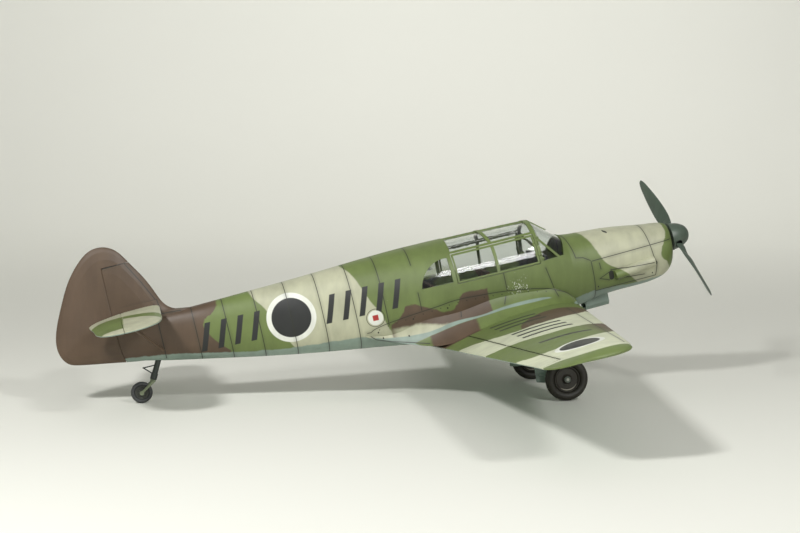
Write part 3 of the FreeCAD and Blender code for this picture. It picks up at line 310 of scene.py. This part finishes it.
def bodyColour(tree, model, vector):
    shape = bodyCamouflage
    wander = wanderOf(tree, vector, shape)
    station = calc(tree, "ADD", model["Station"], wander)
    height = calc(tree, "ADD", model["Height"], wander)
    colour = paint["brown"]
    for edge, tone in (("brownToGreen", "green"), ("greenToCream", "cream"), ("creamToGreen", "green"),
                       ("noseCream", "cream"), ("noseGreen", "green")):
        ahead = above(tree, curveAlong(tree, height, shape[edge]), station)
        colour = mixColour(tree, ahead, colour, paint[tone])
    patch = both(tree, above(tree, curveAlong(tree, station, shape["brownPatchTop"]), height),
                 between(tree, station, *shape["patchSpan"]))
    colour = mixColour(tree, patch, colour, paint["brown"])
    paleTop = ramp(tree, station, *shape["paleRise"])
    pale = both(tree, between(tree, station, *shape["paleSpan"], soft["looser"]),
                above(tree, paleTop, height, soft["brush"]))
    colour = mixColour(tree, pale, colour, paint["cream"])
    plain, level = model["Station"], model["Height"]
    lowEdge = curveAlong(tree, plain, shape["sheenBandLow"])
    # painted reflection: a pale band in the underside colour along the wing root's concave fillet
    sheenBand = both(tree, above(tree, curveAlong(tree, plain, shape["sheenBandTop"]), level, soft["bar"]),
                 above(tree, level, lowEdge, soft["bar"]),
                 between(tree, plain, *shape["sheenBandSpan"], soft["wide"]))
    colour = mixColour(tree, sheenBand, colour, paint["underside"])
    root = both(tree, above(tree, lowEdge, level, soft["crest"]),
                between(tree, plain, *shape["rootSpan"], soft["brush"]))
    rootBrown = both(tree, root, between(tree, station, *shape["rootBrownSpan"], soft["brush"]))
    colour = mixColour(tree, root, colour, paint["green"])
    colour = mixColour(tree, rootBrown, colour, paint["brown"])
    under = above(tree, curveAlong(tree, station, shape["undersideTop"]), height, soft["belly"])
    return mixColour(tree, under, colour, paint["underside"])


bodyLines = {  # engraved panel lines and some painted shade lines, each from (station, height) to (station, height)
    "fuselage": [
        ((146.9, 15.5), (146.9, 1.0)), ((137.8, 14.8), (137.8, -2.0)), ((129.6, 14.0), (129.6, -4.0)),
        ((121.4, 14.6), (121.4, -6.0)), ((113.0, 15.0), (113.0, -7.0)), ((104.8, 15.6), (104.8, -8.5)),
        ((96.4, 16.4), (96.4, -9.5)), ((88.5, 17.0), (88.5, -3.5)), ((79.4, 17.0), (79.4, 10.5)),
        ((79.4, 3.2), (79.4, -1.6)), ((145.9, 16.6), (145.4, 12.7)), ((145.4, 12.7), (140.5, 12.4)),
        ((36.3, 8.6), (35.5, 4.4)),
        ((35.5, 4.4), (35.2, 1.9)), ((35.2, 1.9), (33.2, 1.5)), ((33.2, 1.5), (30.9, 0.0)),
        ((31.2, 0.0), (31.2, -13.0)), ((44.4, 1.6), (43.2, -4.2)), ((56.0, -1.8), (56.0, 3.2)),
    ],
    "fin": [
        # the lines from (152.0, 28.0) down to (146.2, 16.6) are painted shade along the fin's leading edge
        ((145.9, 16.6), (155.2, 16.3)), ((151.3, 27.9), (158.2, 27.6)), ((152.0, 28.0), (148.9, 22.3)),
        ((148.9, 22.3), (146.2, 16.6)),
    ],
    "nose": [
        ((31.2, 0.0), (31.2, -13.0)), ((30.9, 0.0), (7.4, 0.3)), ((14.5, 7.4), (13.3, -2.9)),
        ((13.3, -2.9), (12.7, -5.0)), ((12.7, -5.0), (13.3, -8.4)), ((13.3, -8.4), (31.2, -8.4)),
        # the lines from (26.2, -3.6) to (14.0, -4.5) and from (25.2, -6.4) to (16.7, -7.2) are painted
        # shade along the exhaust fairing's ridges
        ((29.0, -1.0), (28.9, -2.7)), ((26.2, -3.6), (20.1, -4.1)), ((20.1, -4.1), (14.0, -4.5)),
        ((25.2, -6.4), (16.7, -7.2)), ((26.8, -4.1), (29.6, -5.2)), ((29.6, -5.2), (26.9, -6.3)),
    ],
    "fillet": [
        ((93.5, -4.5), (93.8, -5.5)), ((93.8, -5.5), (92.7, -6.6)), ((92.7, -6.6), (88.7, -8.1)),
        ((88.7, -8.1), (79.6, -10.3)),
        ((68.5, -1.2), (69.6, -5.6)), ((56.0, -1.9), (57.6, -5.0)), ((43.2, -4.2), (42.6, -6.6)),
    ],
    "canopy": [],
}
filletEdge = {  # (station, height) along it, and the stations that its engraved line covers
    "line": [(38.3, -9.0), (39.6, -6.7), (42.1, -5.2), (45.8, -3.75), (51.9, -2.5), (57.7, -1.7),
             (63.8, -1.25), (69.8, -1.0), (74.8, -1.5), (84.8, -2.5), (91.5, -3.6), (93.5, -4.5)],
    "middle": 66.4, "half": 28.0,
}


def lineDistance(tree, point, start, end, nearest=farAway):
    along = Vector((end[0] - start[0], end[1] - start[1], 0))
    line = useGroup(tree, lineGroup, Point=point, Start=(*start, 0), Along=along,
                    Reach=1 / along.length_squared, Nearest=nearest)
    return line["Distance"]


def inkLines(tree, point, lines, nearest=farAway):
    # masks of the engraved lines and of the dark wash around them
    for start, end in lines:
        nearest = lineDistance(tree, point, start, end, nearest)
    width = wear["lineWidth"]
    fadeOut, fadeIn = wear["lineFade"]
    return (ramp(tree, nearest, width * fadeOut, width * fadeIn),
            ramp(tree, nearest, width * wear["washReach"], 0.0))


def startMaterial(name):
    material = bpy.data.materials.new(name)
    material.use_nodes = True
    tree = material.node_tree
    vector = tree.nodes.new("ShaderNodeTexCoord").outputs["Object"]
    return material, tree, tree.nodes["Principled BSDF"], vector


def weather(tree, vector, colour, line=None, wash=None, contrast=wear["contrast"]):
    # uneven brushed tone, dark wash in the engraved lines
    brushed = useGroup(tree, wearGroup, Vector=vector)
    streak = calc(tree, "MULTIPLY", brushed["Streak"], wear["streakShare"])
    tone = calc(tree, "ADD", brushed["Mottle"], streak)
    light = ramp(tree, tone, *wear["toneRange"], 1.0 - contrast, 1.0 + contrast)
    grey = tree.nodes.new("ShaderNodeCombineColor")
    for channel in range(3):
        tree.links.new(light, grey.inputs[channel])
    colour = mixColour(tree, 1.0, colour, grey.outputs[0], "MULTIPLY")
    if wash is not None:
        for mask, share in ((wash, wear["washShare"]), (line, wear["lineShare"])):
            colour = mixColour(tree, calc(tree, "MULTIPLY", mask, share), colour, paint["ink"])
    return colour, brushed


def finishPaint(tree, shader, colour, brushed, line=None, roughness=0.5):
    tree.links.new(colour, shader.inputs["Base Color"])
    swing = wear["roughnessSwing"]
    uneven = ramp(tree, brushed["Mottle"], *wear["mottleRange"], roughness - swing, roughness + swing)
    tree.links.new(uneven, shader.inputs["Roughness"])
    height = calc(tree, "MULTIPLY", brushed["Grain"], wear["grainHeight"])
    if line is not None:
        height = calc(tree, "SUBTRACT", height, line)
    relief = tree.nodes.new("ShaderNodeBump")
    relief.inputs["Strength"].default_value = wear["bump"]
    relief.inputs["Distance"].default_value = wear["lineDepth"]
    tree.links.new(height, relief.inputs["Height"])
    tree.links.new(relief.outputs[0], shader.inputs["Normal"])


bodyMarkings = {  # mm: places are (station, height), spans run along their own axis
    "roundel": (113.0, 4.2), "ringRadius": 6.5, "discRadius": 5.2,
    "barLow": 0.5, "barHigh": 7.9, "barPitch": 4.4, "barHalf": 0.75, "lean": 0.33,
    "rearBars": (123.9, 137.1), "frontBars": (86.3, 103.9),
    "hatch": (91.6, -0.8), "hatchRadius": 2.0, "hatchEdge": (0.3, 0.45), "squareHalf": 0.75,
    "chipCentre": (52.6, -1.6), "chipReach": 6.0, "chipBoost": (0.045, -0.2), "chipLevel": 0.615,
    "chipNoise": (2300, 2, 0.6),
    "dotPitch": 2.4, "dotDrop": 0.75, "dotRadius": 0.15, "dotSpan": (44.0, 92.0), "dotShare": 0.8,
    # the cabin walls inside get painted shade over these spans
    "wallInside": 10.6, "cabinSpan": (42.0, 79.5), "wallSpan": (-2.0, 3.1),
}
darkSpots = {  # (start, end, radius) of every dark hole or slot
    "nose": [((26.2, -4.5), (26.2, -5.7), 0.7), ((13.0, -4.9), (13.0, -4.8), 0.45),
             ((24.8, 6.5), (24.2, 6.1), 0.22), ((14.3, -7.5), (14.3, -7.4), 0.18),
             ((30.3, -7.4), (30.3, -7.3), 0.18)],
    "fuselage": [((91.6, -5.0), (91.6, -4.9), 0.2), ((82.0, -3.4), (82.0, -3.3), 0.2),
                 ((72.6, -2.6), (72.6, -2.5), 0.2)],
    "fillet": [((92.6, -5.2), (92.6, -5.1), 0.2), ((90.6, -6.8), (90.6, -6.7), 0.2),
               ((84.0, -7.6), (84.0, -7.5), 0.2)],
}


def leaningBars(tree, station, height, span, mark):
    # evenly spaced plain bars, from the first one's place to the last one's
    leaned = calc(tree, "ADD", station, calc(tree, "MULTIPLY", height, mark["lean"]))
    low, high = span
    wave = calc(tree, "PINGPONG", calc(tree, "SUBTRACT", leaned, low), mark["barPitch"] / 2)
    half = mark["barHalf"]
    return both(tree, above(tree, half, wave, soft["bar"]),
                between(tree, leaned, low - 2 * half, high + 2 * half),
                between(tree, height, mark["barLow"], mark["barHigh"], soft["marking"]))


def roundel(tree, point, colour, mark):
    # a black disc in a white ring
    away = vectorCalc(tree, "DISTANCE", point, (*mark["roundel"], 0))
    for radius, tone in (("ringRadius", "white"), ("discRadius", "black")):
        colour = mixColour(tree, above(tree, mark[radius], away, soft["marking"]), colour, paint[tone])
    return colour


def fuselageMarks(tree, model, vector, colour):
    mark = bodyMarkings
    station, height = model["Station"], model["Height"]
    colour = roundel(tree, model["Profile"], colour, mark)
    for span in (mark["rearBars"], mark["frontBars"]):
        colour = mixColour(tree, leaningBars(tree, station, height, span, mark), colour, paint["black"])
    starboard = calc(tree, "LESS_THAN", model["Side"], 0.0)
    away = vectorCalc(tree, "DISTANCE", model["Profile"], (*mark["hatch"], 0))
    disc = both(tree, starboard, above(tree, mark["hatchRadius"], away, soft["marking"]))
    colour = mixColour(tree, disc, colour, paint["white"])
    edgeLow, edgeHigh = (mark["hatchRadius"] + step for step in mark["hatchEdge"])
    edge = between(tree, away, edgeLow, edgeHigh, soft["rim"])
    colour = mixColour(tree, both(tree, starboard, edge), colour, paint["ink"])
    square = starboard
    for value, centre in zip((station, height), mark["hatch"]):
        off = calc(tree, "ABSOLUTE", calc(tree, "SUBTRACT", value, centre))
        square = both(tree, square, above(tree, mark["squareHalf"], off, soft["rim"]))
    colour = mixColour(tree, square, colour, paint["red"])
    worn = vectorCalc(tree, "DISTANCE", model["Profile"], (*mark["chipCentre"], 0))
    near = ramp(tree, worn, 0.0, mark["chipReach"], *mark["chipBoost"])
    flakes = calc(tree, "ADD", noise(tree, vector, *mark["chipNoise"]), near)
    chips = above(tree, flakes, mark["chipLevel"], soft["chip"])
    return mixColour(tree, both(tree, starboard, chips), colour, paint["chip"])


def cabinShade(tree, model, colour):
    # painted shade: a dark colour inside the cabin walls, where the cabin lies in shade
    shade = bodyMarkings
    out = calc(tree, "ABSOLUTE", model["Side"])
    inside = both(tree, above(tree, shade["wallInside"], out, soft["dot"]),
                  between(tree, model["Station"], *shade["cabinSpan"]),
                  between(tree, model["Height"], *shade["wallSpan"], soft["marking"]))
    return mixColour(tree, inside, colour, paint["cabin"])


def fastenerRow(tree, station, drop, colour):
    # a row of small dark fasteners just below the fillet's edge
    row = bodyMarkings
    along = calc(tree, "PINGPONG", station, row["dotPitch"] / 2)
    below = calc(tree, "SUBTRACT", drop, row["dotDrop"])
    away = calc(tree, "SQRT", calc(tree, "ADD", calc(tree, "MULTIPLY", along, along),
                                   calc(tree, "MULTIPLY", below, below)))
    dots = both(tree, above(tree, row["dotRadius"], away, soft["dot"]),
                between(tree, station, *row["dotSpan"]))
    return mixColour(tree, calc(tree, "MULTIPLY", dots, row["dotShare"]), colour, paint["ink"])


def paintSpots(tree, point, colour, spots):
    for start, end, radius in spots:
        away = lineDistance(tree, point, start, end)
        colour = mixColour(tree, above(tree, radius, away, soft["spot"]), colour, paint["ink"])
    return colour


def bodyPaint(part):
    material, tree, shader, vector = startMaterial(part + "Paint")
    model = useGroup(tree, stationGroup, Vector=vector)
    colour = bodyColour(tree, model, vector)
    if part == "fuselage":
        colour = cabinShade(tree, model, fuselageMarks(tree, model, vector, colour))
    away = farAway
    if part in ("fuselage", "fillet"):
        edge = curveAlong(tree, model["Station"], filletEdge["line"])
        drop = calc(tree, "SUBTRACT", edge, model["Height"])
        past = calc(tree, "ABSOLUTE", calc(tree, "SUBTRACT", model["Station"], filletEdge["middle"]))
        beyond = calc(tree, "SUBTRACT", past, filletEdge["half"])
        away = calc(tree, "MAXIMUM", calc(tree, "ABSOLUTE", drop), beyond)
        colour = fastenerRow(tree, model["Station"], drop, colour)
    line, wash = inkLines(tree, model["Profile"], bodyLines[part], nearest=away)
    colour, brushed = weather(tree, vector, colour, line, wash)
    colour = paintSpots(tree, model["Profile"], colour, darkSpots.get(part, ()))
    finishPaint(tree, shader, colour, brushed, line)
    return material


wingCamouflage = {  # (station, distance from the middle)
    "wedge": [(40.0, 24.2), (44.3, 24.1), (48.4, 24.8), (52.1, 26.7), (54.7, 29.3), (59.2, 35.7),
              (61.1, 41.7), (62.0, 60.0)],
    "cream": [(40.0, 31.0), (41.6, 32.7), (44.5, 38.4), (47.8, 42.4), (52.1, 44.3), (55.7, 44.8),
              (58.8, 43.8), (61.7, 44.0), (64.8, 42.3), (68.0, 38.9), (71.1, 35.0), (73.4, 32.7),
              (75.5, 31.2), (78.0, 30.0)],
    "green": [(46.7, 62.6), (52.5, 66.2), (55.9, 65.9), (59.4, 65.2), (62.4, 63.4), (65.8, 61.2),
              (68.8, 59.4), (73.9, 57.6), (77.0, 56.5)],
    "outer": [(48.8, 79.1), (54.6, 85.6), (58.4, 87.0), (62.3, 88.4), (65.8, 88.6), (69.1, 87.5),
              (73.1, 83.8), (76.0, 82.0)],
    "tip": [(49.0, 101.0), (53.8, 104.2), (57.4, 105.6), (60.8, 106.0), (64.0, 105.8), (67.9, 104.6),
            (71.9, 103.9)],
    "portShift": 9.0, "wedgeEnd": 61.5, "brownEnd": 51.0, "rootHalf": 17.5, "rootSpan": (66.0, 79.0),
    "wanderNoise": (400, 2), "wander": 1.2,
}
wingMarkings = {  # mm: the roundel's (station, out), the bars' stations, the spans' distances out
    "roundel": (60.5, 92.6), "ringRadius": 5.6, "discRadius": 4.5,
    "barLow": 53.0, "barHigh": 64.6, "barPitch": 5.6, "barHalf": 1.0, "lean": 0.35,
    "spans": ((43.6, 54.8), (68.2, 79.4), (95.3, 95.3)), "contrast": 0.13,
}
wingLines = [((44.7, 25.7), (49.8, 69.3)), ((49.8, 69.3), (53.1, 101.1)), ((50.4, 101.6), (48.9, 90.0)),
             ((69.9, 15.0), (69.0, 57.0)), ((68.9, 58.0), (67.9, 103.0))]
wingMidPlanes = {  # height where the underside colour starts: base, rise with station, rise outwards
    "wingPaint": (-14.9, -0.0023, 0.0706),
    "flapPaint": (-7.352, -0.0762, 0.0749),
    "aileronPaint": (-8.142, -0.0654, 0.0751),
}


def undersideBelow(tree, model, middle, colour):
    return mixColour(tree, above(tree, middle, model["Height"], soft["spot"]), colour, paint["underside"])


def wingColour(tree, model, vector, midPlane):
    shape, brush = wingCamouflage, soft["wingBrush"]
    wander = wanderOf(tree, vector, shape)
    station = calc(tree, "ADD", model["Station"], wander)
    port = calc(tree, "GREATER_THAN", model["Side"], 0.0)
    out = calc(tree, "ABSOLUTE", model["Side"])
    shift = calc(tree, "MULTIPLY", port, shape["portShift"])
    across = calc(tree, "ADD", calc(tree, "ADD", out, wander), shift)

    def outside(distance, edge):
        return above(tree, distance, curveAlong(tree, station, shape[edge]), brush)

    wedge = both(tree, outside(across, "wedge"), above(tree, shape["wedgeEnd"], station, soft["loose"]))
    colour = mixColour(tree, wedge, paint["green"], paint["brown"])
    # the lighter wing cream is painted sheen
    colour = mixColour(tree, outside(across, "cream"), colour, paint["wingCreamPaintedSheen"])
    front = above(tree, shape["brownEnd"], station, soft["broad"])
    banded = mixColour(tree, front, paint["green"], paint["brown"])
    colour = mixColour(tree, outside(across, "green"), colour, banded)
    colour = mixColour(tree, outside(across, "outer"), colour, paint["wingCreamPaintedSheen"])
    colour = mixColour(tree, outside(out, "tip"), colour, paint["green"])
    root = both(tree, above(tree, shape["rootHalf"], out, brush),
                between(tree, station, *shape["rootSpan"], soft["wide"]))
    colour = mixColour(tree, root, colour, paint["brown"])
    colour = roundel(tree, model["Plan"], colour, wingMarkings)
    for span in wingMarkings["spans"]:
        bars = leaningBars(tree, out, model["Station"], span, wingMarkings)
        colour = mixColour(tree, bars, colour, paint["black"])
    base, slope, rise = midPlane
    middle = calc(tree, "ADD", calc(tree, "MULTIPLY", model["Station"], slope),
                  calc(tree, "MULTIPLY", out, rise))
    return undersideBelow(tree, model, calc(tree, "ADD", middle, base), colour)


def wingPaint(name):
    material, tree, shader, vector = startMaterial(name)
    model = useGroup(tree, stationGroup, Vector=vector)
    colour = wingColour(tree, model, vector, wingMidPlanes[name])
    line, wash = inkLines(tree, model["Plan"], wingLines)
    colour, brushed = weather(tree, vector, colour, line, wash, wingMarkings["contrast"])
    finishPaint(tree, shader, colour, brushed, line)
    return material


tailCamouflage = {  # (station, distance from the middle)
    "bandInner": [(145.0, 19.8), (145.9, 18.6), (149.1, 14.4), (151.4, 12.2), (155.2, 9.8)],
    "bandOuter": [(145.0, 28.5), (146.0, 26.8), (149.2, 20.8), (151.5, 17.8), (155.2, 14.4)],
    "elevatorInner": [(155.0, 10.0), (157.0, 9.7), (160.1, 10.4), (163.1, 13.5), (166.0, 16.0)],
    "hinge": 155.3,
    "tipEdge": 30.6,
    "midPlane": (18.34, -0.0257),  # height where the underside colour starts: base, rise with station
}


def tailColour(tree, model, vector):
    shape = tailCamouflage
    station, out = model["Station"], calc(tree, "ABSOLUTE", model["Side"])
    behind = above(tree, station, shape["hinge"])
    band = both(tree, calc(tree, "SUBTRACT", 1.0, behind),
                above(tree, out, curveAlong(tree, station, shape["bandInner"])),
                above(tree, curveAlong(tree, station, shape["bandOuter"]), out))
    rear = both(tree, behind, above(tree, out, curveAlong(tree, station, shape["elevatorInner"])),
                above(tree, shape["tipEdge"], out))
    colour = mixColour(tree, calc(tree, "MAXIMUM", band, rear), paint["cream"], paint["green"])
    base, slope = shape["midPlane"]
    middle = calc(tree, "ADD", calc(tree, "MULTIPLY", station, slope), base)
    return undersideBelow(tree, model, middle, colour)


def tailPaint():
    material, tree, shader, vector = startMaterial("tailplanePaint")
    model = useGroup(tree, stationGroup, Vector=vector)
    colour, brushed = weather(tree, vector, tailColour(tree, model, vector))
    finishPaint(tree, shader, colour, brushed)
    return material


def plainPaint(name, tone, roughness=0.5, contrast=wear["contrast"], metallic=0.0):
    material, tree, shader, vector = startMaterial(name)
    colour, brushed = weather(tree, vector, paint[tone], contrast=contrast)
    shader.inputs["Metallic"].default_value = metallic
    finishPaint(tree, shader, colour, brushed, roughness=roughness)
    return material


wheelDetail = {  # mm; heights and holeAt (aft, up) are from the axle, capSide from the middle
    # the rim gets a painted highlight towards its bottom, set by the two entries after rimWidth
    "discRadius": 2.75, "rimWidth": 0.22, "rimHighlightSpan": (-2.8, -1.4), "rimHighlightShare": (0.9, 0.0),
    "holeAt": (1.2, -0.8), "hole": 0.3,
    "capSide": 19.5, "capRadius": 1.6, "dot": 0.37,
    "contrast": 0.22, "roughness": 0.4,
}


def wheelPaint(name, jointName):
    # a dark disc with a painted highlight on the lower part of its rim, and one small dark hole
    material, tree, shader, vector = startMaterial(name)
    model = useGroup(tree, stationGroup, Vector=vector)
    station, height = profileOf(jointName)
    detail = wheelDetail
    away = vectorCalc(tree, "DISTANCE", model["Profile"], (station, height, 0))
    rim = between(tree, away, detail["discRadius"], detail["discRadius"] + detail["rimWidth"], soft["rim"])
    level = calc(tree, "SUBTRACT", model["Height"], height)
    # painted highlight: the rim grows brighter towards its bottom
    low = ramp(tree, level, *detail["rimHighlightSpan"], *detail["rimHighlightShare"])
    colour = mixColour(tree, both(tree, rim, low), paint["hub"], paint["rim"])
    aft, rise = detail["holeAt"]
    hole = vectorCalc(tree, "DISTANCE", model["Profile"], (station + aft, height + rise, 0))
    colour = mixColour(tree, above(tree, detail["hole"], hole, soft["spot"]), colour, paint["ink"])
    colour, brushed = weather(tree, vector, colour, contrast=detail["contrast"])
    finishPaint(tree, shader, colour, brushed, roughness=detail["roughness"])
    return material


def gearPaint():
    # pale legs and doors, dark axle ends with a bright dot outside the wheels
    material, tree, shader, vector = startMaterial("gearPaint")
    model = useGroup(tree, stationGroup, Vector=vector)
    station, height = profileOf("wheel_left_spin")
    detail = wheelDetail
    away = vectorCalc(tree, "DISTANCE", model["Profile"], (station, height, 0))
    cap = both(tree, above(tree, calc(tree, "ABSOLUTE", model["Side"]), detail["capSide"]),
               above(tree, detail["capRadius"], away))
    colour = mixColour(tree, cap, paint["underside"], paint["axle"])
    dot = both(tree, cap, above(tree, detail["dot"], away, soft["dot"]))
    colour = mixColour(tree, dot, colour, paint["axleEnd"])
    colour, brushed = weather(tree, vector, colour)
    finishPaint(tree, shader, colour, brushed)
    return material


clearLook = {"ior": 1.45, "hazeNoise": (500, 4), "hazeRange": (0.4, 0.75), "roughness": (0.02, 0.12)}


def clearPlastic():
    material, tree, shader, vector = startMaterial("clearPlastic")
    shader.inputs["Base Color"].default_value = paint["clear"]
    shader.inputs["Transmission Weight"].default_value = 1.0
    shader.inputs["IOR"].default_value = clearLook["ior"]
    haze = noise(tree, vector, *clearLook["hazeNoise"])
    tree.links.new(ramp(tree, haze, *clearLook["hazeRange"], *clearLook["roughness"]),
                   shader.inputs["Roughness"])
    return material


def useFinish(material, *names):
    for name in names:
        slots = nodes[name].data.materials
        slots.clear()
        slots.append(material)


useFinish(bodyPaint("fuselage"), "fuselage_left", "fuselage_right")
useFinish(bodyPaint("nose"), "upper_cowling", "lower_cowling", "nose_ring", "exhaust_left", "exhaust_right")
useFinish(bodyPaint("fillet"), "wing_fillet_left", "wing_fillet_right")
useFinish(bodyPaint("fin"), "fin")
useFinish(bodyPaint("canopy"), "canopy_frame", "door_frame_left", "door_frame_right")
useFinish(plainPaint("rudderPaint", "brown"), "rudder")
useFinish(wingPaint("wingPaint"), "wing_upper_left", "wing_upper_right", "wing_tip_left", "wing_tip_right")
useFinish(wingPaint("flapPaint"), "flap_left", "flap_right")
useFinish(wingPaint("aileronPaint"), "aileron_left", "aileron_right")
useFinish(tailPaint(), "tailplane_left", "tailplane_right", "elevator_left", "elevator_right")
useFinish(plainPaint("undersidePaint", "underside"), "wing_lower", "oil_cooler_duct")
useFinish(gearPaint(), "gear_leg_left", "gear_leg_right", "gear_doors")
useFinish(plainPaint("strutPaint", "brown"), "tailplane_struts")
useFinish(plainPaint("propellerPaint", "propeller", roughness=0.42, contrast=0.22),
          "spinner", "propeller_hub", "propeller_blades")
useFinish(clearPlastic(), "windshield_glass", "roof_glass", "quarter_windows", "door_glass_left",
          "door_glass_right")
useFinish(plainPaint("cabinPaint", "cabinParts", roughness=0.6),
          "cabin_floor", "rear_bulkhead", "firewall", "elevator_torque_tube")
useFinish(plainPaint("panelPaint", "instruments"), "instrument_panel", "control_sticks")
useFinish(plainPaint("seatPaint", "seat", roughness=0.65, contrast=0.25), "front_seats", "rear_bench")
useFinish(plainPaint("pinSteel", "steel", roughness=0.35, contrast=0.1, metallic=1.0),
          "rudder_hinge_pin", "propeller_shaft", "shaft_bush")
useFinish(plainPaint("mainTyrePaint", "mainTyre", roughness=0.6, contrast=0.25), "tyre_left", "tyre_right")
useFinish(plainPaint("tailTyrePaint", "tailTyre", roughness=0.6, contrast=0.2), "tail_tyre")
useFinish(wheelPaint("hubPaint", "wheel_left_spin"), "wheel_hub_left", "wheel_hub_right")
useFinish(plainPaint("tailHubPaint", "tailHub", roughness=0.4, contrast=0.2), "tail_wheel_hub")
useFinish(plainPaint("legPaint", "tailLeg", contrast=0.2), "tail_leg", "steering_link")
useFinish(plainPaint("forkPaint", "tailFork", contrast=0.2), "tail_fork")
print("paint done")


studio = {  # lengths in metres
    "floorColour": srgb(240, 240, 231), "floorShade": srgb(237, 237, 228),
    "floorNoise": (6, 2), "floorRoughness": 0.8,
    "floorHalf": 1.6, "wallStart": 0.55, "wallRadius": 0.5, "wallHeight": 1.2, "sweepSteps": 16,
    "worldColour": (1.0, 1.0, 0.96, 1), "world": 0.29,
}


def addObject(name, data):
    piece = bpy.data.objects.new(name, data)
    bpy.context.scene.collection.objects.link(piece)
    return piece


def buildStage():
    # a sheet of paper on the table that curves up into the wall
    sheet = bmesh.new()
    half, radius, steps = studio["floorHalf"], studio["wallRadius"], studio["sweepSteps"]
    profile = [(-half, 0.0), (studio["wallStart"], 0.0)]
    for step in range(1, steps + 1):
        turn = math.radians(90 * step / steps)
        profile.append((studio["wallStart"] + radius * math.sin(turn), radius * (1 - math.cos(turn))))
    profile.append((studio["wallStart"] + radius, studio["wallHeight"]))
    first = [sheet.verts.new((-half, y, z)) for y, z in profile]
    edges = [sheet.edges.new(pair) for pair in zip(first, first[1:])]
    swept = bmesh.ops.extrude_edge_only(sheet, edges=edges)["geom"]
    corners = [part for part in swept if isinstance(part, bmesh.types.BMVert)]
    bmesh.ops.translate(sheet, vec=(2 * half, 0, 0), verts=corners)
    bmesh.ops.recalc_face_normals(sheet, faces=sheet.faces)
    mesh = bpy.data.meshes.new("paperSweep")
    sheet.to_mesh(mesh)
    sheet.free()
    for face in mesh.polygons:
        face.use_smooth = True
    piece = addObject("paperSweep", mesh)
    material, tree, shader, vector = startMaterial("paper")
    cloud = noise(tree, vector, *studio["floorNoise"])
    tree.links.new(mixColour(tree, cloud, studio["floorShade"], studio["floorColour"]),
                   shader.inputs["Base Color"])
    shader.inputs["Roughness"].default_value = studio["floorRoughness"]
    mesh.materials.append(material)


lamps = {  # place, aim and size in metres, watts, spread in degrees
    "leftLamp": ((-0.225, -0.275, 0.28), (0, 0, 0.02), 0.05, 1.08, 180),
    "rightLamp": ((0.155, -0.35, 0.31), (0, 0, 0.02), 0.07, 0.53, 180),
    "wallLamp": ((0.22, 0.3, 0.85), (0.22, 1.0, 0.25), 0.8, 2.1, 110),
    "topLamp": ((0.05, 0.3, 1.3), (0.05, 0.3, 0), 1.4, 0.9, 180),
    "paneLamp": ((0.094, -0.36, 0.19), (0.03, -0.011, 0.036), 0.17, 0.75, 180),
}
paneLampHeight = 0.075


def addLamp(name, where, aim, size, power, spread):
    light = bpy.data.lights.new(name, "AREA")
    light.shape = "DISK"
    light.size = size
    light.energy = power
    light.spread = math.radians(spread)
    lamp = addObject(name, light)
    lamp.location = where
    lamp.rotation_euler = (Vector(where) - Vector(aim)).to_track_quat("Z", "Y").to_euler()
    return lamp


def buildLight():
    world = bpy.data.worlds.new("room")
    bpy.context.scene.world = world
    world.use_nodes = True
    backdrop = world.node_tree.nodes["Background"]
    backdrop.inputs["Color"].default_value = studio["worldColour"]
    backdrop.inputs["Strength"].default_value = studio["world"]
    placed = {name: addLamp(name, *values) for name, values in lamps.items()}
    paneLamp = placed["paneLamp"]  # only seen in the window panes and the gloss
    paneLamp.data.shape = "RECTANGLE"
    paneLamp.data.size_y = paneLampHeight
    paneLamp.visible_diffuse = False
    paneLamp.visible_transmission = False


viewpoint = {  # metres, degrees, and the lens in mm
    "place": (-0.07193, -0.43112, 0.07422), "yaw": 10.108, "pitch": -5.15, "roll": -0.225,
    "lens": 73.575, "sensor": 36.0, "clip": (0.01, 10.0),
}


def buildCamera():
    yaw, pitch, roll = (math.radians(viewpoint[turn]) for turn in ("yaw", "pitch", "roll"))
    ahead = Vector((math.sin(yaw) * math.cos(pitch), math.cos(yaw) * math.cos(pitch), math.sin(pitch)))
    right = Vector((math.cos(yaw), -math.sin(yaw), 0))
    up = right.cross(ahead)
    turnedRight = right * math.cos(roll) + up * math.sin(roll)
    turnedUp = up * math.cos(roll) - right * math.sin(roll)
    view = bpy.data.cameras.new("viewCamera")
    view.sensor_width = viewpoint["sensor"]
    view.lens = viewpoint["lens"]
    view.clip_start, view.clip_end = viewpoint["clip"]
    camera = addObject("viewCamera", view)
    turned = Matrix((turnedRight, turnedUp, -ahead)).transposed().to_4x4()
    camera.matrix_world = Matrix.Translation(viewpoint["place"]) @ turned
    bpy.context.scene.camera = camera


buildStage()
buildLight()
buildCamera()
bpy.context.scene.view_settings.view_transform = "Standard"
print("stage done")
